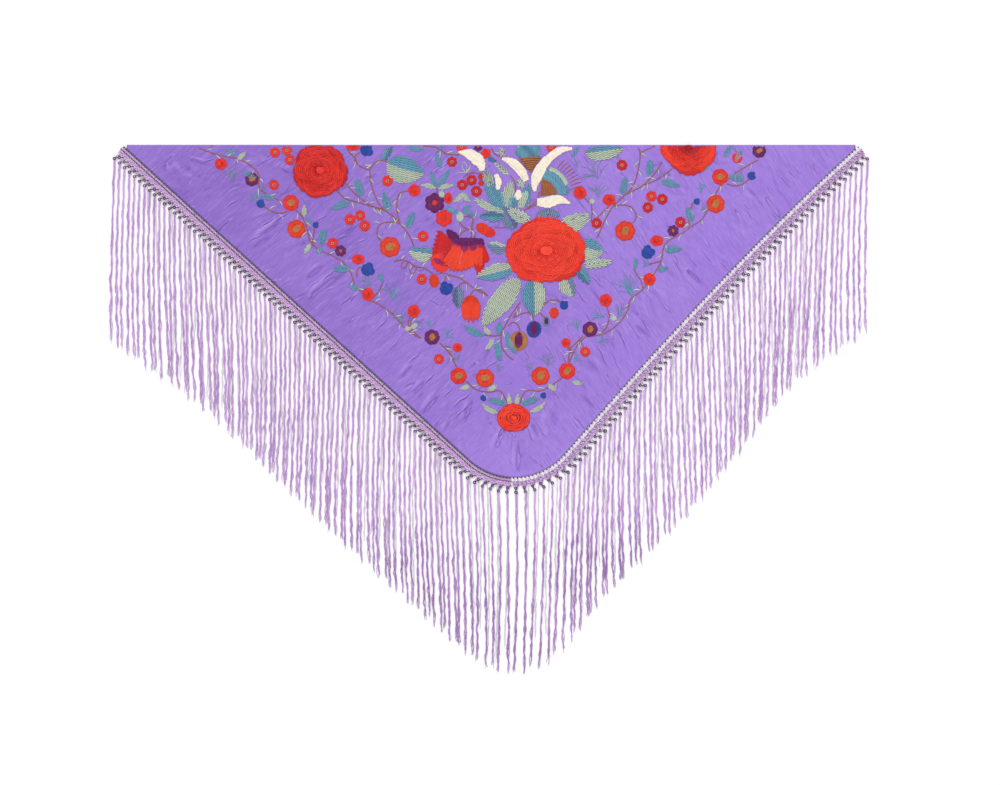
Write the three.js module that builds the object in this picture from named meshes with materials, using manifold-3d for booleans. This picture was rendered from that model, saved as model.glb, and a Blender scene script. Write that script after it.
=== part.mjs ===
// Fringed shawl: a silk square folded over near its diagonal and laid flat, front half uppermost.
// Millimetres, +Z up off the surface it lies on, +Y towards the fold, +X along the fold to the right.

import * as THREE from 'three';
import { mergeVertices } from 'three/addons/utils/BufferGeometryUtils.js';
import Module from 'manifold-3d';

const wasm = await Module();
wasm.setup();

// Sizes of the silk. The fold is the square's diagonal, and lies along y = 0 while the parts are made.
const squareSide = 1300;
const foldHalf = squareSide / Math.SQRT2;
const silk = {
  thick: 1.2,
  layerGap: 0.6,
  cornerX: 72,
  cornerDepth: 900,
  cornerRadius: 165,
  bendX: 597,
  bendDepth: 291,
  tipCut: 9,
  foldSteps: 4,
  underInset: 45,
  leastUnder: 3,
  colour: 0x9d7cd1,
};

// Sizes of the knotted net along the free edges, and of the strands that hang from its points.
const net = {
  seam: 0.3,
  underSeam: 0.6,
  valley: 37,
  point: 43,
  underDeep: 41,
  underStart: 60,
  underSteps: 56,
  thick: 1.2,
  colour: 0xb482cd,
};
const strandForm = {
  rootWidth: 8,
  width: 5,
  tipWidth: 0.6,
  tipHigh: 0.6,
  sunk: 5,
  uneven: 8,
};

// Sideways sway of the strands: a slow wave that neighbours share, and a small one of each strand's own.
const sway = {
  slow: 7,
  slowLength: 97,
  slowTurn: 2.4,
  quick: 1.6,
  quickStep: 2.3,
  quickTurn: 4.1,
};

// Fraction of the whole free edge at the lowest point of the rounded corner, where its two sides meet.
const lowest = 0.514;
const cornerReach = 0.06;
const sides = [
  { name: 'left', from: 0, to: lowest, cells: 76, underStrands: 46 },
  { name: 'right', from: lowest, to: 1, cells: 64, underStrands: 40 },
];

// Rows of open eyes in the net, by depth from the silk, half width along it and half height across it.
const netEyes = [
  { depth: 9, halfAlong: 5, halfDeep: 3, shift: 0.5 },
  { depth: 28, halfAlong: 3.8, halfDeep: 6.2, shift: 0 },
];

// Strand lengths along the whole free edge, from the left end of the fold to the right one.
const strandLengths = [
  { along: 0, length: 452 },
  { along: 0.12, length: 424 },
  { along: 0.27, length: 418 },
  { along: 0.4, length: 440 },
  { along: 0.54, length: 443 },
  { along: 0.62, length: 412 },
  { along: 0.75, length: 416 },
  { along: 0.9, length: 392 },
  { along: 1, length: 424 },
];

// Largest creases, by their middle, direction in degrees from +X, length, width and height.
const creases = [
  { x: -447, y: -307, turn: 38, long: 48, wide: 11, high: 1.5 },
  { x: -430, y: -344, turn: 39, long: 74, wide: 14, high: 2.1 },
  { x: -581, y: -233, turn: 32, long: 58, wide: 11, high: 1.5 },
  { x: -569, y: -208, turn: 37, long: 80, wide: 12, high: 1.8 },
  { x: -730, y: -34, turn: -14, long: 54, wide: 9, high: 1.2 },
  { x: -215, y: -554, turn: 45, long: 44, wide: 10, high: 1.4 },
  { x: -188, y: -598, turn: 48, long: 40, wide: 10, high: 1.4 },
  { x: -159, y: -638, turn: 50, long: 60, wide: 12, high: 1.9 },
  { x: -109, y: -596, turn: 58, long: 28, wide: 8, high: 1.0 },
  { x: -116, y: -694, turn: 63, long: 32, wide: 9, high: 1.2 },
  { x: -67, y: -657, turn: 69, long: 58, wide: 11, high: 1.6 },
  { x: 12, y: -729, turn: 63, long: 58, wide: 11, high: 1.7 },
  { x: 57, y: -780, turn: 90, long: 68, wide: 10, high: 1.6 },
  { x: 100, y: -716, turn: 117, long: 48, wide: 10, high: 1.5 },
  { x: 652, y: -136, turn: 137, long: 62, wide: 12, high: 1.2 },
  { x: 497, y: -336, turn: 138, long: 56, wide: 12, high: 1.3 },
  { x: 372, y: -474, turn: 138, long: 52, wide: 11, high: 1.2 },
  { x: 235, y: -648, turn: 135, long: 46, wide: 10, high: 1.2 },
];

// A crease's half width and height along it, as shares of its largest.
const creaseProfile = [
  { at: -0.5, share: 0.12 },
  { at: -0.12, share: 1 },
  { at: 0.2, share: 0.8 },
  { at: 0.5, share: 0.1 },
];

const frontBase = silk.thick + silk.layerGap;
const frontTop = frontBase + silk.thick;

// Heights of a strand above the surface, and where along it its sections are.
const frontStrand = { base: frontBase + 0.1, tipBase: 0.4, high: 2.4, sections: [0.12, 0.5, 0.94] };
const underStrand = { base: 0.2, tipBase: 0.2, high: 1.1, sections: [0.55] };

const endLeft = new THREE.Vector2(-foldHalf, 0);
const endRight = new THREE.Vector2(foldHalf, 0);
const freeEdge = makeFreeEdge();

// The free edge of the front half: straight on the left, round at the corner, and bowed in on the right.
function makeFreeEdge() {
  const corner = new THREE.Vector2(silk.cornerX, -silk.cornerDepth);
  const bend = new THREE.Vector2(silk.bendX, -silk.bendDepth);
  const toLeft = endLeft.clone().sub(corner).normalize();
  const toRight = bend.clone().sub(corner).normalize();
  const half = Math.acos(toLeft.dot(toRight)) / 2;
  const middle = toLeft.clone().add(toRight).normalize();
  const centre = corner.clone().addScaledVector(middle, silk.cornerRadius / Math.sin(half));
  const tangent = silk.cornerRadius / Math.tan(half);
  const start = corner.clone().addScaledVector(toLeft, tangent);
  const end = corner.clone().addScaledVector(toRight, tangent);
  const angle = (p) => Math.atan2(p.y - centre.y, p.x - centre.x);
  const path = new THREE.Path();
  path.moveTo(endLeft.x, endLeft.y);
  path.lineTo(start.x, start.y);
  path.absarc(centre.x, centre.y, silk.cornerRadius, angle(start), angle(end), false);
  path.quadraticCurveTo(bend.x, bend.y, endRight.x, endRight.y);
  return path;
}

// Point at a fraction of the free edge, set outwards by a distance, or inwards where it is negative.
function edgePoint(along, outwards) {
  const point = freeEdge.getPoint(along);
  const direction = freeEdge.getTangent(along);
  return new THREE.Vector2(
    point.x + direction.y * outwards,
    point.y - direction.x * outwards,
  );
}

// Depth below the fold of the edge, or of a line inset from it, at a distance along the fold.
function depthAt(x, inset) {
  let low = 0;
  let high = 1;
  for (let step = 0; step < 40; step += 1) {
    const middle = (low + high) / 2;
    if (edgePoint(middle, -inset).x < x) low = middle;
    else high = middle;
  }
  return -edgePoint(low, -inset).y;
}

// Fraction of the whole free edge at a cell's border, counted from the left end of its own side.
function borderAt(side, cell) {
  return side.from + ((side.to - side.from) * cell) / side.cells;
}

// Borders where the silk and the net share a point: every second one round the corner, else every fourth.
function sharedBorders(side) {
  const borders = [];
  for (let cell = 0; cell <= side.cells; cell += 1) {
    const nearCorner = Math.abs(borderAt(side, cell) - lowest) < cornerReach;
    if (cell % (nearCorner ? 2 : 4) === 0) borders.push(borderAt(side, cell));
  }
  return borders;
}

// Section of the folded silk at a distance along the fold, as a closed loop of y and z.
function foldedSection(x) {
  const front = -depthAt(x, 0);
  const under = Math.min(-silk.leastUnder, -depthAt(x, silk.underInset));
  const outer = frontTop / 2;
  const inner = silk.layerGap / 2;
  const loop = [[front, frontTop], ...roundFold(outer, 1)];
  loop.push([under, 0], [under, silk.thick], ...roundFold(inner, -1), [front, frontBase]);
  return loop.map(([y, z]) => new THREE.Vector3(x, y, z));
}

// Half round turn of the fold, from the front down to the under half, or back up again.
function roundFold(radius, way) {
  const points = [];
  for (let step = 0; step <= silk.foldSteps; step += 1) {
    const angle = way * (Math.PI / 2 - (Math.PI * step) / silk.foldSteps);
    points.push([radius * Math.cos(angle), frontTop / 2 + radius * Math.sin(angle)]);
  }
  return points;
}

// Open wall through a list of loops, each with the same number of points.
function loft(loops) {
  const count = loops[0].length;
  const positions = loops.flat().flatMap((p) => [p.x, p.y, p.z]);
  const index = [];
  for (let i = 0; i < loops.length - 1; i += 1) {
    for (let k = 0; k < count; k += 1) {
      const a = i * count + k;
      const b = i * count + ((k + 1) % count);
      index.push(a, b, a + count, b, b + count, a + count);
    }
  }
  return { positions, index, count };
}

function withIndex(positions, index) {
  const geometry = new THREE.BufferGeometry();
  geometry.setAttribute('position', new THREE.Float32BufferAttribute(positions, 3));
  geometry.setIndex(index);
  return geometry;
}

// Closed solid through loops, its two ends filled in the plane that flatten lays them in.
function closedLoft(loops, flatten) {
  const { positions, index, count } = loft(loops);
  const lastStart = (loops.length - 1) * count;
  for (const face of THREE.ShapeUtils.triangulateShape(loops[0].map(flatten), [])) {
    index.push(face[0], face[1], face[2]);
  }
  for (const face of THREE.ShapeUtils.triangulateShape(loops.at(-1).map(flatten), [])) {
    index.push(lastStart + face[2], lastStart + face[1], lastStart + face[0]);
  }
  return withIndex(positions, index);
}

function toSolid(geometry) {
  const bare = geometry.clone();
  bare.deleteAttribute('normal');
  bare.deleteAttribute('uv');
  const merged = mergeVertices(bare);
  return new wasm.Manifold(new wasm.Mesh({
    numProp: 3,
    vertProperties: new Float32Array(merged.attributes.position.array),
    triVerts: new Uint32Array(merged.index.array),
  }));
}

function toGeometry(solid) {
  const mesh = solid.getMesh();
  return withIndex(Array.from(mesh.vertProperties), Array.from(mesh.triVerts));
}

// A crease as a slim ridge that stands on the silk and runs out to nothing at both ends.
function creaseRidge(crease) {
  const turn = THREE.MathUtils.degToRad(crease.turn);
  const forward = new THREE.Vector2(Math.cos(turn), Math.sin(turn));
  const across = new THREE.Vector2(-forward.y, forward.x);
  const base = frontTop - silk.thick / 3;
  const loops = creaseProfile.map(({ at, share }) => {
    const middle = new THREE.Vector2(crease.x, crease.y).addScaledVector(forward, at * crease.long);
    const half = (crease.wide / 2) * share;
    const place = (offset, z) => {
      const p = middle.clone().addScaledVector(across, offset);
      return new THREE.Vector3(p.x, p.y, z);
    };
    return [place(-half, base), place(half, base), place(0, frontTop + crease.high * share)];
  });
  return toSolid(closedTube(loops));
}

// Closed three-sided tube through loops of three points.
function closedTube(loops) {
  const { positions, index } = loft(loops);
  const last = (loops.length - 1) * 3;
  index.push(0, 2, 1, last, last + 1, last + 2);
  return withIndex(positions, index);
}

function makeSilk() {
  const alongs = [...new Set(sides.flatMap(sharedBorders))];
  const xs = alongs.map((along) => edgePoint(along, 0).x);
  xs[0] += silk.tipCut;
  xs[xs.length - 1] -= silk.tipCut;
  const loops = xs.reverse().map((x) => foldedSection(x));
  let solid = toSolid(closedLoft(loops, (p) => new THREE.Vector2(p.y, p.z)));
  for (const crease of creases) solid = solid.add(creaseRidge(crease));
  return toGeometry(solid);
}

// Outline of a net band, straight along the silk and in points along the strands.
function netOutline(side) {
  const inner = sharedBorders(side).map((along) => edgePoint(along, net.seam));
  const outer = [];
  for (let cell = side.cells; cell > 0; cell -= 1) {
    outer.push(edgePoint(borderAt(side, cell), net.valley));
    outer.push(edgePoint(borderAt(side, cell - 0.5), net.point));
  }
  outer.push(edgePoint(borderAt(side, 0), net.valley));
  return trimToMiddle(side, [...inner, ...outer]);
}

// The two bands stop a seam apart at the middle of the rounded corner.
function trimToMiddle(side, points) {
  const direction = freeEdge.getTangent(lowest);
  const origin = freeEdge.getPoint(lowest);
  const sign = side.from === lowest ? 1 : -1;
  for (const p of points) {
    const reach = p.clone().sub(origin).dot(direction) * sign;
    if (reach < net.seam / 2) p.addScaledVector(direction, (net.seam / 2 - reach) * sign);
  }
  return points;
}

function netEye(side, row, cell) {
  const halfAlong = row.halfAlong / freeEdge.getLength();
  const along = borderAt(side, cell + row.shift);
  return new THREE.Path([
    edgePoint(along - halfAlong, row.depth),
    edgePoint(along, row.depth + row.halfDeep),
    edgePoint(along + halfAlong, row.depth),
    edgePoint(along, row.depth - row.halfDeep),
  ]);
}

function netBand(side) {
  const shape = new THREE.Shape(netOutline(side));
  for (const row of netEyes) {
    const first = row.shift === 0 ? 1 : 0;
    for (let cell = first; cell < side.cells; cell += 1) shape.holes.push(netEye(side, row, cell));
  }
  const band = new THREE.ExtrudeGeometry(shape, { depth: net.thick, bevelEnabled: false });
  band.translate(0, 0, frontBase);
  return toSolid(band);
}

function lengthAt(along) {
  const next = strandLengths.findIndex((row) => row.along >= along);
  if (next <= 0) return strandLengths[0].length;
  const before = strandLengths[next - 1];
  const after = strandLengths[next];
  return THREE.MathUtils.mapLinear(along, before.along, after.along, before.length, after.length);
}

// Sideways place of a strand part of the way down, shared by its neighbours but for a small part.
function swayAt(x, number, down) {
  const phase = x / sway.slowLength;
  const slow = Math.sin(phase + down * sway.slowTurn) - Math.sin(phase);
  const quick = Math.sin(number * sway.quickStep + down * sway.quickTurn) * down;
  return sway.slow * slow + sway.quick * quick;
}

// A strand: three-sided, flat beneath, thick at its knot and run out to a point just above the surface.
function strand(root, number, length, form) {
  const { base, high, tipBase } = form;
  const stations = [
    { down: -strandForm.sunk / length, width: strandForm.rootWidth, low: base, high },
    ...form.sections.map((down) => ({ down, width: strandForm.width, low: base, high })),
    { down: 1, width: strandForm.tipWidth, low: tipBase, high: strandForm.tipHigh },
  ];
  const loops = stations.map((station) => {
    const x = root.x + swayAt(root.x, number, Math.max(station.down, 0));
    const y = root.y - length * station.down;
    return [
      new THREE.Vector3(x + station.width / 2, y, station.low),
      new THREE.Vector3(x, y, station.low + station.high),
      new THREE.Vector3(x - station.width / 2, y, station.low),
    ];
  });
  return toSolid(closedTube(loops));
}

function makeFrontFringe(side) {
  let solid = netBand(side);
  for (let cell = 0; cell < side.cells; cell += 1) {
    const along = borderAt(side, cell + 0.5);
    const root = edgePoint(along, net.point);
    const length = lengthAt(along) + strandForm.uneven * Math.sin(cell * sway.quickStep);
    solid = solid.add(strand(root, cell, length, frontStrand));
  }
  return toGeometry(solid);
}

// Where an under band starts or stops: at the middle, or short of the fold's end.
function underReach(side) {
  const clearOfFold = (along) => edgePoint(along, -silk.underInset).y < -net.underStart;
  const step = 0.001;
  let from = side.from;
  let to = side.to;
  while (!clearOfFold(from)) from += step;
  while (!clearOfFold(to)) to -= step;
  return { from, to };
}

function underBand(side) {
  const { from, to } = underReach(side);
  const inner = [];
  const outer = [];
  for (let step = 0; step <= net.underSteps; step += 1) {
    const along = THREE.MathUtils.lerp(from, to, step / net.underSteps);
    inner.push(edgePoint(along, net.underSeam - silk.underInset));
    outer.unshift(edgePoint(along, net.underDeep - silk.underInset));
  }
  const shape = new THREE.Shape(trimToMiddle(side, [...inner, ...outer]));
  return toSolid(new THREE.ExtrudeGeometry(shape, { depth: silk.thick, bevelEnabled: false }));
}

function makeUnderFringe(side) {
  const { from, to } = underReach(side);
  let solid = underBand(side);
  for (let number = 0; number < side.underStrands; number += 1) {
    const along = THREE.MathUtils.lerp(from, to, (number + 0.5) / side.underStrands);
    const root = edgePoint(along, net.underDeep - silk.underInset);
    solid = solid.add(strand(root, number, lengthAt(along) - strandForm.uneven, underStrand));
  }
  return toGeometry(solid);
}

function silkMaterial() {
  return new THREE.MeshStandardMaterial({ color: silk.colour, roughness: 0.45, metalness: 0 });
}

function fringeMaterial() {
  return new THREE.MeshStandardMaterial({ color: net.colour, roughness: 0.5, metalness: 0 });
}

function named(name, geometry, material) {
  const mesh = new THREE.Mesh(geometry, material);
  mesh.name = name;
  return mesh;
}

const shawl = new THREE.Group();
shawl.add(named('silk_ground', makeSilk(), silkMaterial()));
for (const side of sides) {
  shawl.add(named(`fringe_front_${side.name}`, makeFrontFringe(side), fringeMaterial()));
  shawl.add(named(`fringe_under_${side.name}`, makeUnderFringe(side), fringeMaterial()));
}

// The origin is on the surface, under the middle of the whole shawl with its fringe.
const middle = new THREE.Box3().setFromObject(shawl, true).getCenter(new THREE.Vector3());
shawl.position.set(-middle.x, -middle.y, 0);
shawl.updateMatrixWorld(true);

export default shawl;
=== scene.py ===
import math
import random

import bpy
import numpy as np
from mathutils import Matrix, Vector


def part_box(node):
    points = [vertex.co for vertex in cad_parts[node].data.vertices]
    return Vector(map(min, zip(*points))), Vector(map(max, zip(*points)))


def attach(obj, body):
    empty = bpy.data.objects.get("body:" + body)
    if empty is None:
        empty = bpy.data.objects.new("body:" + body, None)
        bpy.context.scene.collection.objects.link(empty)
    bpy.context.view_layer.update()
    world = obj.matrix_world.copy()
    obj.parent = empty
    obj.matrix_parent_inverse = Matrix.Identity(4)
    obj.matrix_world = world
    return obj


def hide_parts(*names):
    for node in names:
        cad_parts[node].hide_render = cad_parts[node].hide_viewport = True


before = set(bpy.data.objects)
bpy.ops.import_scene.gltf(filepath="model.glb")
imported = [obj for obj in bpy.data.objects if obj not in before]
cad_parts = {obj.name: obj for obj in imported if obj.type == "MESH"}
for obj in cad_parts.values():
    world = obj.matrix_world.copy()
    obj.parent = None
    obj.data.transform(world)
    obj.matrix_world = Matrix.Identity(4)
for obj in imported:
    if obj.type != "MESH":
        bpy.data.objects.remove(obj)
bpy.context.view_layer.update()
print("shawl: frame loaded")

# Everything is laid out in millimetres on the shawl: the fold along y = 0, the free edges below it,
# z up from the floor. toFrame turns that into the frame's metres.
silkLow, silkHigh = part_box("silk_ground")
foldAt = {"middleX": 500.0 * (silkLow.x + silkHigh.x), "y": 1000.0 * silkHigh.y - 1.5}

# where the photograph's pixels lie on the shawl
chart = {"foldMiddlePx": 491.0, "foldPx": 145.5, "mmPerPx": 2.5}


def toFrame(points):
    placed = np.array(points, dtype=float)
    placed[:, 0] += foldAt["middleX"]
    placed[:, 1] += foldAt["y"]
    return placed * 0.001


def fromPhoto(px, py):
    return np.array([
        (px - chart["foldMiddlePx"]) * chart["mmPerPx"],
        (chart["foldPx"] - py) * chart["mmPerPx"],
    ])


def pixelLine(*pairs):
    return [fromPhoto(x, y) for x, y in pairs]


def heading(turn):
    # a unit vector at an angle in degrees
    return np.array([math.cos(math.radians(turn)), math.sin(math.radians(turn))])


def leftOf(way):
    return np.array([-way[1], way[0]])


def onOval(middle, size, reach, angles):
    # points round an oval: its middle, its half sizes, how far out in shares of them, and the angles
    return middle + size * np.asarray(reach)[..., None] * np.stack([np.cos(angles), np.sin(angles)], -1)


def smooth(value, low, high):
    t = np.clip((np.asarray(value, dtype=float) - low) / (high - low), 0.0, 1.0)
    return t * t * (3.0 - 2.0 * t)


def linear(red, green, blue):
    return [((c / 255.0 + 0.055) / 1.055) ** 2.4 if c > 10 else c / 3294.6 for c in (red, green, blue)]


threadColours = {
    "roseLight": linear(243, 66, 43),
    "rose": linear(228, 48, 38),
    "roseDark": linear(188, 28, 34),
    "wineRed": linear(172, 18, 30),
    "wine": linear(196, 27, 30),
    "orange": linear(224, 62, 35),
    "purple": linear(104, 28, 96),
    "purpleDark": linear(74, 22, 72),
    "sage": linear(178, 190, 172),
    "sageDark": linear(158, 170, 156),
    "teal": linear(98, 150, 176),
    "tealDark": linear(74, 122, 148),
    "slate": linear(118, 136, 168),
    "slateDark": linear(96, 108, 150),
    "cream": linear(238, 226, 208),
    "brown": linear(156, 94, 58),
    "ochre": linear(184, 120, 66),
    "blue": linear(38, 70, 162),
    "stem": linear(158, 92, 78),
    "pale": linear(190, 202, 190),
    "fringe": linear(220, 172, 242),
    "fringeLight": linear(242, 208, 250),
    "fringeDark": linear(176, 122, 204),
    "fringeBack": linear(244, 240, 247),
    "netLight": linear(222, 182, 232),
    "netMid": linear(198, 156, 212),
    # deep plum for the net's dark dashes, arcs and ring cords: painted shade in its knots and gaps
    "netPaintedShade": linear(82, 46, 98),
    # purple flecks, dashes and arcs of the paler net: painted shade in its small gaps
    "netShadeFleck": linear(114, 66, 146),
    "hemCord": linear(104, 82, 122),
}


# ---- the free edge, from the left end of the fold round the corner to the right end
shawlCut = {
    "side": 1300.0,
    "cornerX": 72.0,
    "cornerDepth": 900.0,
    "cornerRadius": 165.0,
    "bendX": 597.0,
    "bendDepth": 291.0,
    "endCut": 9.0,
    "underInset": 45.0,
    "leastUnder": 3.0,
    "lowest": 0.514,
}
foldHalf = shawlCut["side"] / math.sqrt(2)


def makeFreeEdge():
    left = np.array([-foldHalf, 0.0])
    right = np.array([foldHalf, 0.0])
    corner = np.array([shawlCut["cornerX"], -shawlCut["cornerDepth"]])
    bend = np.array([shawlCut["bendX"], -shawlCut["bendDepth"]])
    toLeft = (left - corner) / np.linalg.norm(left - corner)
    toRight = (bend - corner) / np.linalg.norm(bend - corner)
    half = math.acos(toLeft.dot(toRight)) / 2
    middle = (toLeft + toRight) / np.linalg.norm(toLeft + toRight)
    radius = shawlCut["cornerRadius"]
    centre = corner + middle * radius / math.sin(half)
    start = corner + toLeft * radius / math.tan(half)
    end = corner + toRight * radius / math.tan(half)
    angles = np.linspace(
        math.atan2(start[1] - centre[1], start[0] - centre[0]),
        math.atan2(end[1] - centre[1], end[0] - centre[0]),
        160,
    )
    arc = onOval(centre, radius, 1.0, angles)
    t = np.linspace(0, 1, 400)[:, None]
    bowed = (1 - t) ** 2 * end + 2 * t * (1 - t) * bend + t ** 2 * right
    line = left + np.linspace(0, 1, 400)[:, None] * (start - left)
    points = np.vstack([line, arc[1:], bowed[1:]])
    steps = np.linalg.norm(np.diff(points, axis=0), axis=1)
    reach = np.concatenate([[0], np.cumsum(steps)])
    direction = np.gradient(points, reach, axis=0)
    direction /= np.linalg.norm(direction, axis=1)[:, None]
    return points, direction, reach / reach[-1]


edgePoints, edgeDirections, edgeReach = makeFreeEdge()


def edgePoint(along, outwards=0.0):
    # a point of the free edge, or one set outwards from it
    x, y = (np.interp(along, edgeReach, edgePoints[:, k]) for k in (0, 1))
    dx, dy = (np.interp(along, edgeReach, edgeDirections[:, k]) for k in (0, 1))
    return np.stack([x + dy * outwards, y - dx * outwards], -1)


def depthAt(x, inset=0.0):
    line = edgePoint(edgeReach, -inset)
    return -np.interp(x, line[:, 0], line[:, 1])


# ---- creases of the silk
silkForm = {
    "top": 3.0,
    "thick": 0.9,
    "columns": 450,
    "rows": 140,
    "hemWide": 6.0,
    "hemHigh": 0.35,
    "slant": 0.71,  # distance from the slanting edge for each millimetre above it
    "seed": 11,
}
creaseForm = {
    "mainScale": (1.1, 1.2, 1.6),  # length, width and height of the main creases
    "mainWay": 1.4,
    "long": (30, 110), "wide": (11, 19), "high": (0.25, 0.8),  # the small ones
    "puckerLong": (20, 52), "puckerWide": (9, 13), "puckerHigh": (0.3, 0.8),
    "core": 0.34,  # how sharp a ridge is
    "broadWave": 0.22, "fineWave": 0.16,  # the cloth's own gentle waves
    "limits": (-1.0, 4.0),
}

# main creases: x, y, direction in degrees, length, width, height
mainCreases = [
    (-447, -307, 38, 58, 11, 1.4), (-430, -344, 39, 90, 14, 1.9), (-581, -233, 32, 66, 11, 1.4),
    (-569, -208, 37, 92, 12, 1.6), (-730, -34, -14, 60, 9, 1.1), (-215, -554, 45, 52, 10, 1.3),
    (-188, -598, 48, 48, 10, 1.3), (-159, -638, 50, 70, 12, 1.7), (-109, -596, 58, 34, 8, 1.0),
    (-116, -694, 63, 40, 9, 1.1), (-67, -657, 69, 68, 11, 1.5), (12, -729, 63, 68, 11, 1.5),
    (57, -780, 90, 74, 10, 1.5), (100, -716, 117, 56, 10, 1.4), (652, -136, 137, 70, 12, 1.2),
    (497, -336, 138, 66, 12, 1.2), (372, -474, 138, 62, 11, 1.2), (235, -648, 135, 54, 10, 1.1),
]

# fields of small creases: middle, spread along and across, count, direction and its spread
creaseFields = [
    {"at": (-520, -215), "turn": -42, "long": 420, "wide": 62, "count": 80, "crease": 38, "spread": 9},
    {"at": (-240, -500), "turn": -42, "long": 240, "wide": 58, "count": 46, "crease": 44, "spread": 10},
    {"at": (60, -700), "turn": 0, "long": 150, "wide": 60, "count": 34, "crease": 84, "spread": 30},
    {"at": (300, -520), "turn": 43, "long": 260, "wide": 60, "count": 60, "crease": 124, "spread": 9},
    {"at": (600, -210), "turn": 40, "long": 300, "wide": 60, "count": 60, "crease": 130, "spread": 12},
    {"at": (-560, -60), "turn": 0, "long": 260, "wide": 45, "count": 40, "crease": -18, "spread": 18},
    {"at": (-250, -190), "turn": 0, "long": 200, "wide": 120, "count": 50, "crease": 30, "spread": 30},
    {"at": (330, -170), "turn": 0, "long": 220, "wide": 120, "count": 50, "crease": 145, "spread": 25},
    {"at": (60, -470), "turn": 0, "long": 160, "wide": 120, "count": 40, "crease": 125, "spread": 35},
]

# stitching draws the silk together, so short creases run out from the large flowers: px, py, radius px, count
puckers = [
    (545.6, 251, 46, 34), (323, 171, 31, 22), (689, 155, 31, 22), (513.5, 417.5, 20, 20),
    (457, 252, 35, 18), (500, 200, 30, 12), (432, 337.5, 11, 9), (590, 329.5, 11, 9),
    (540.5, 376, 12, 9), (567, 371, 12, 9), (458.5, 376, 12, 8), (485, 378, 12, 8),
    (390, 247, 13, 9), (625, 231, 13, 9), (296.5, 229, 12, 8), (715.5, 204, 12, 8),
]


def listCreases():
    chance = random.Random(silkForm["seed"])
    longer, wider, higher = creaseForm["mainScale"]

    def draw(*sizes):
        return [chance.uniform(*creaseForm[size]) for size in sizes]

    found = [(x, y, turn, long * longer, wide * wider, high * higher, creaseForm["mainWay"])
             for x, y, turn, long, wide, high in mainCreases]
    for field in creaseFields:
        way = heading(field["turn"])
        for _ in range(field["count"]):
            u = chance.uniform(-1, 1) * field["long"]
            v = chance.uniform(-1, 1) * field["wide"]
            x, y = field["at"] + u * way + v * leftOf(way)
            found.append((x, y, field["crease"] + chance.gauss(0, field["spread"]), *draw("long", "wide", "high"),
                          chance.choice((-1, 1))))
    for px, py, radius, count in puckers:
        middle = fromPhoto(px, py)
        for k in range(count):
            turn = 360.0 * (k + chance.uniform(0.1, 0.9)) / count
            long, = draw("puckerLong")
            reach = radius * chart["mmPerPx"] + 0.3 * long
            x, y = middle + reach * heading(turn)
            found.append((x, y, turn, long, *draw("puckerWide", "puckerHigh"), 1.0))
    return found


allCreases = listCreases()


def creaseHeight(x, y):
    # how far the front stands above its flat height, soft ridges each with a trough beside it
    x = np.asarray(x, dtype=float)
    y = np.asarray(y, dtype=float)
    height = creaseForm["broadWave"] * np.sin(x / 47.0 + 1.3 * np.sin(y / 61.0)) * np.sin(
        y / 53.0 + 0.9 * np.sin(x / 71.0))
    height += creaseForm["fineWave"] * np.sin((x + y) / 23.0 + 1.1 * np.sin(x / 37.0)) * np.sin(
        (x - y) / 29.0)
    for cx, cy, turn, long, wide, high, way in allCreases:
        near = np.abs(x - cx) + np.abs(y - cy) < long + 2 * wide
        if not near.any():
            continue
        c, s = heading(turn)
        dx, dy = x[near] - cx, y[near] - cy
        u = (dx * c + dy * s) / long
        v = (dy * c - dx * s) / wide + way * 0.35 * u * u
        along = np.where(np.abs(u) < 0.62, np.cos(np.pi * u / 1.24) ** 2, 0.0)
        core = creaseForm["core"]
        across = np.exp(-(v / core) ** 2) - 0.5 * abs(way) * np.exp(-((v + way * 0.6) / core) ** 2)
        height[near] += high * along * across
    height *= smooth(-y, 1.0, 16.0)
    return np.clip(height, *creaseForm["limits"])


def hemHeight(x, y):
    # the narrow rolled hem along the free edge
    inside = (depthAt(x) + y) * silkForm["slant"]
    wide = silkForm["hemWide"]
    return silkForm["hemHigh"] * smooth(inside, 0.0, 1.0) * (1 - smooth(inside, wide * 0.5, wide))


def silkTop(x, y):
    return silkForm["top"] + creaseHeight(x, y) + hemHeight(x, y)


# ---- helpers for meshes and materials
def makeMesh(name, points, faces, edges=()):
    mesh = bpy.data.meshes.new(name)
    mesh.from_pydata(toFrame(points).tolist(), list(edges), list(faces))
    mesh.update()
    piece = bpy.data.objects.new(name, mesh)
    bpy.context.scene.collection.objects.link(piece)
    return piece


def makeSmooth(piece):
    piece.data.polygons.foreach_set("use_smooth", [True] * len(piece.data.polygons))
    return piece


def storeValues(piece, label, values, kind="FLOAT", field="value"):
    store = piece.data.attributes.new(label, kind, "POINT")
    store.data.foreach_set(field, np.asarray(values, dtype=np.float32).ravel())


def countTriangles(piece):
    return sum(len(p.vertices) - 2 for p in piece.data.polygons)


def newMaterial(name, roughness, specular=0.4, sheen=0.0, sheenRough=0.4):
    material = bpy.data.materials.new(name)
    material.use_nodes = True
    shader = material.node_tree.nodes["Principled BSDF"]
    shader.inputs["Roughness"].default_value = roughness
    shader.inputs["Specular IOR Level"].default_value = specular
    shader.inputs["Sheen Weight"].default_value = sheen
    shader.inputs["Sheen Roughness"].default_value = sheenRough
    return material, material.node_tree, shader


def addNode(tree, kind, inputs=None, **settings):
    node = tree.nodes.new(kind)
    for key, value in settings.items():
        setattr(node, key, value)
    for key, value in (inputs or {}).items():
        if isinstance(value, bpy.types.NodeSocket):
            tree.links.new(value, node.inputs[key])
        else:
            node.inputs[key].default_value = value
    return node


def mathNode(tree, operation, *values):
    node = tree.nodes.new("ShaderNodeMath")
    node.operation = operation
    for k, value in enumerate(values):
        if isinstance(value, bpy.types.NodeSocket):
            tree.links.new(value, node.inputs[k])
        else:
            node.inputs[k].default_value = value
    return node.outputs[0]


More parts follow.
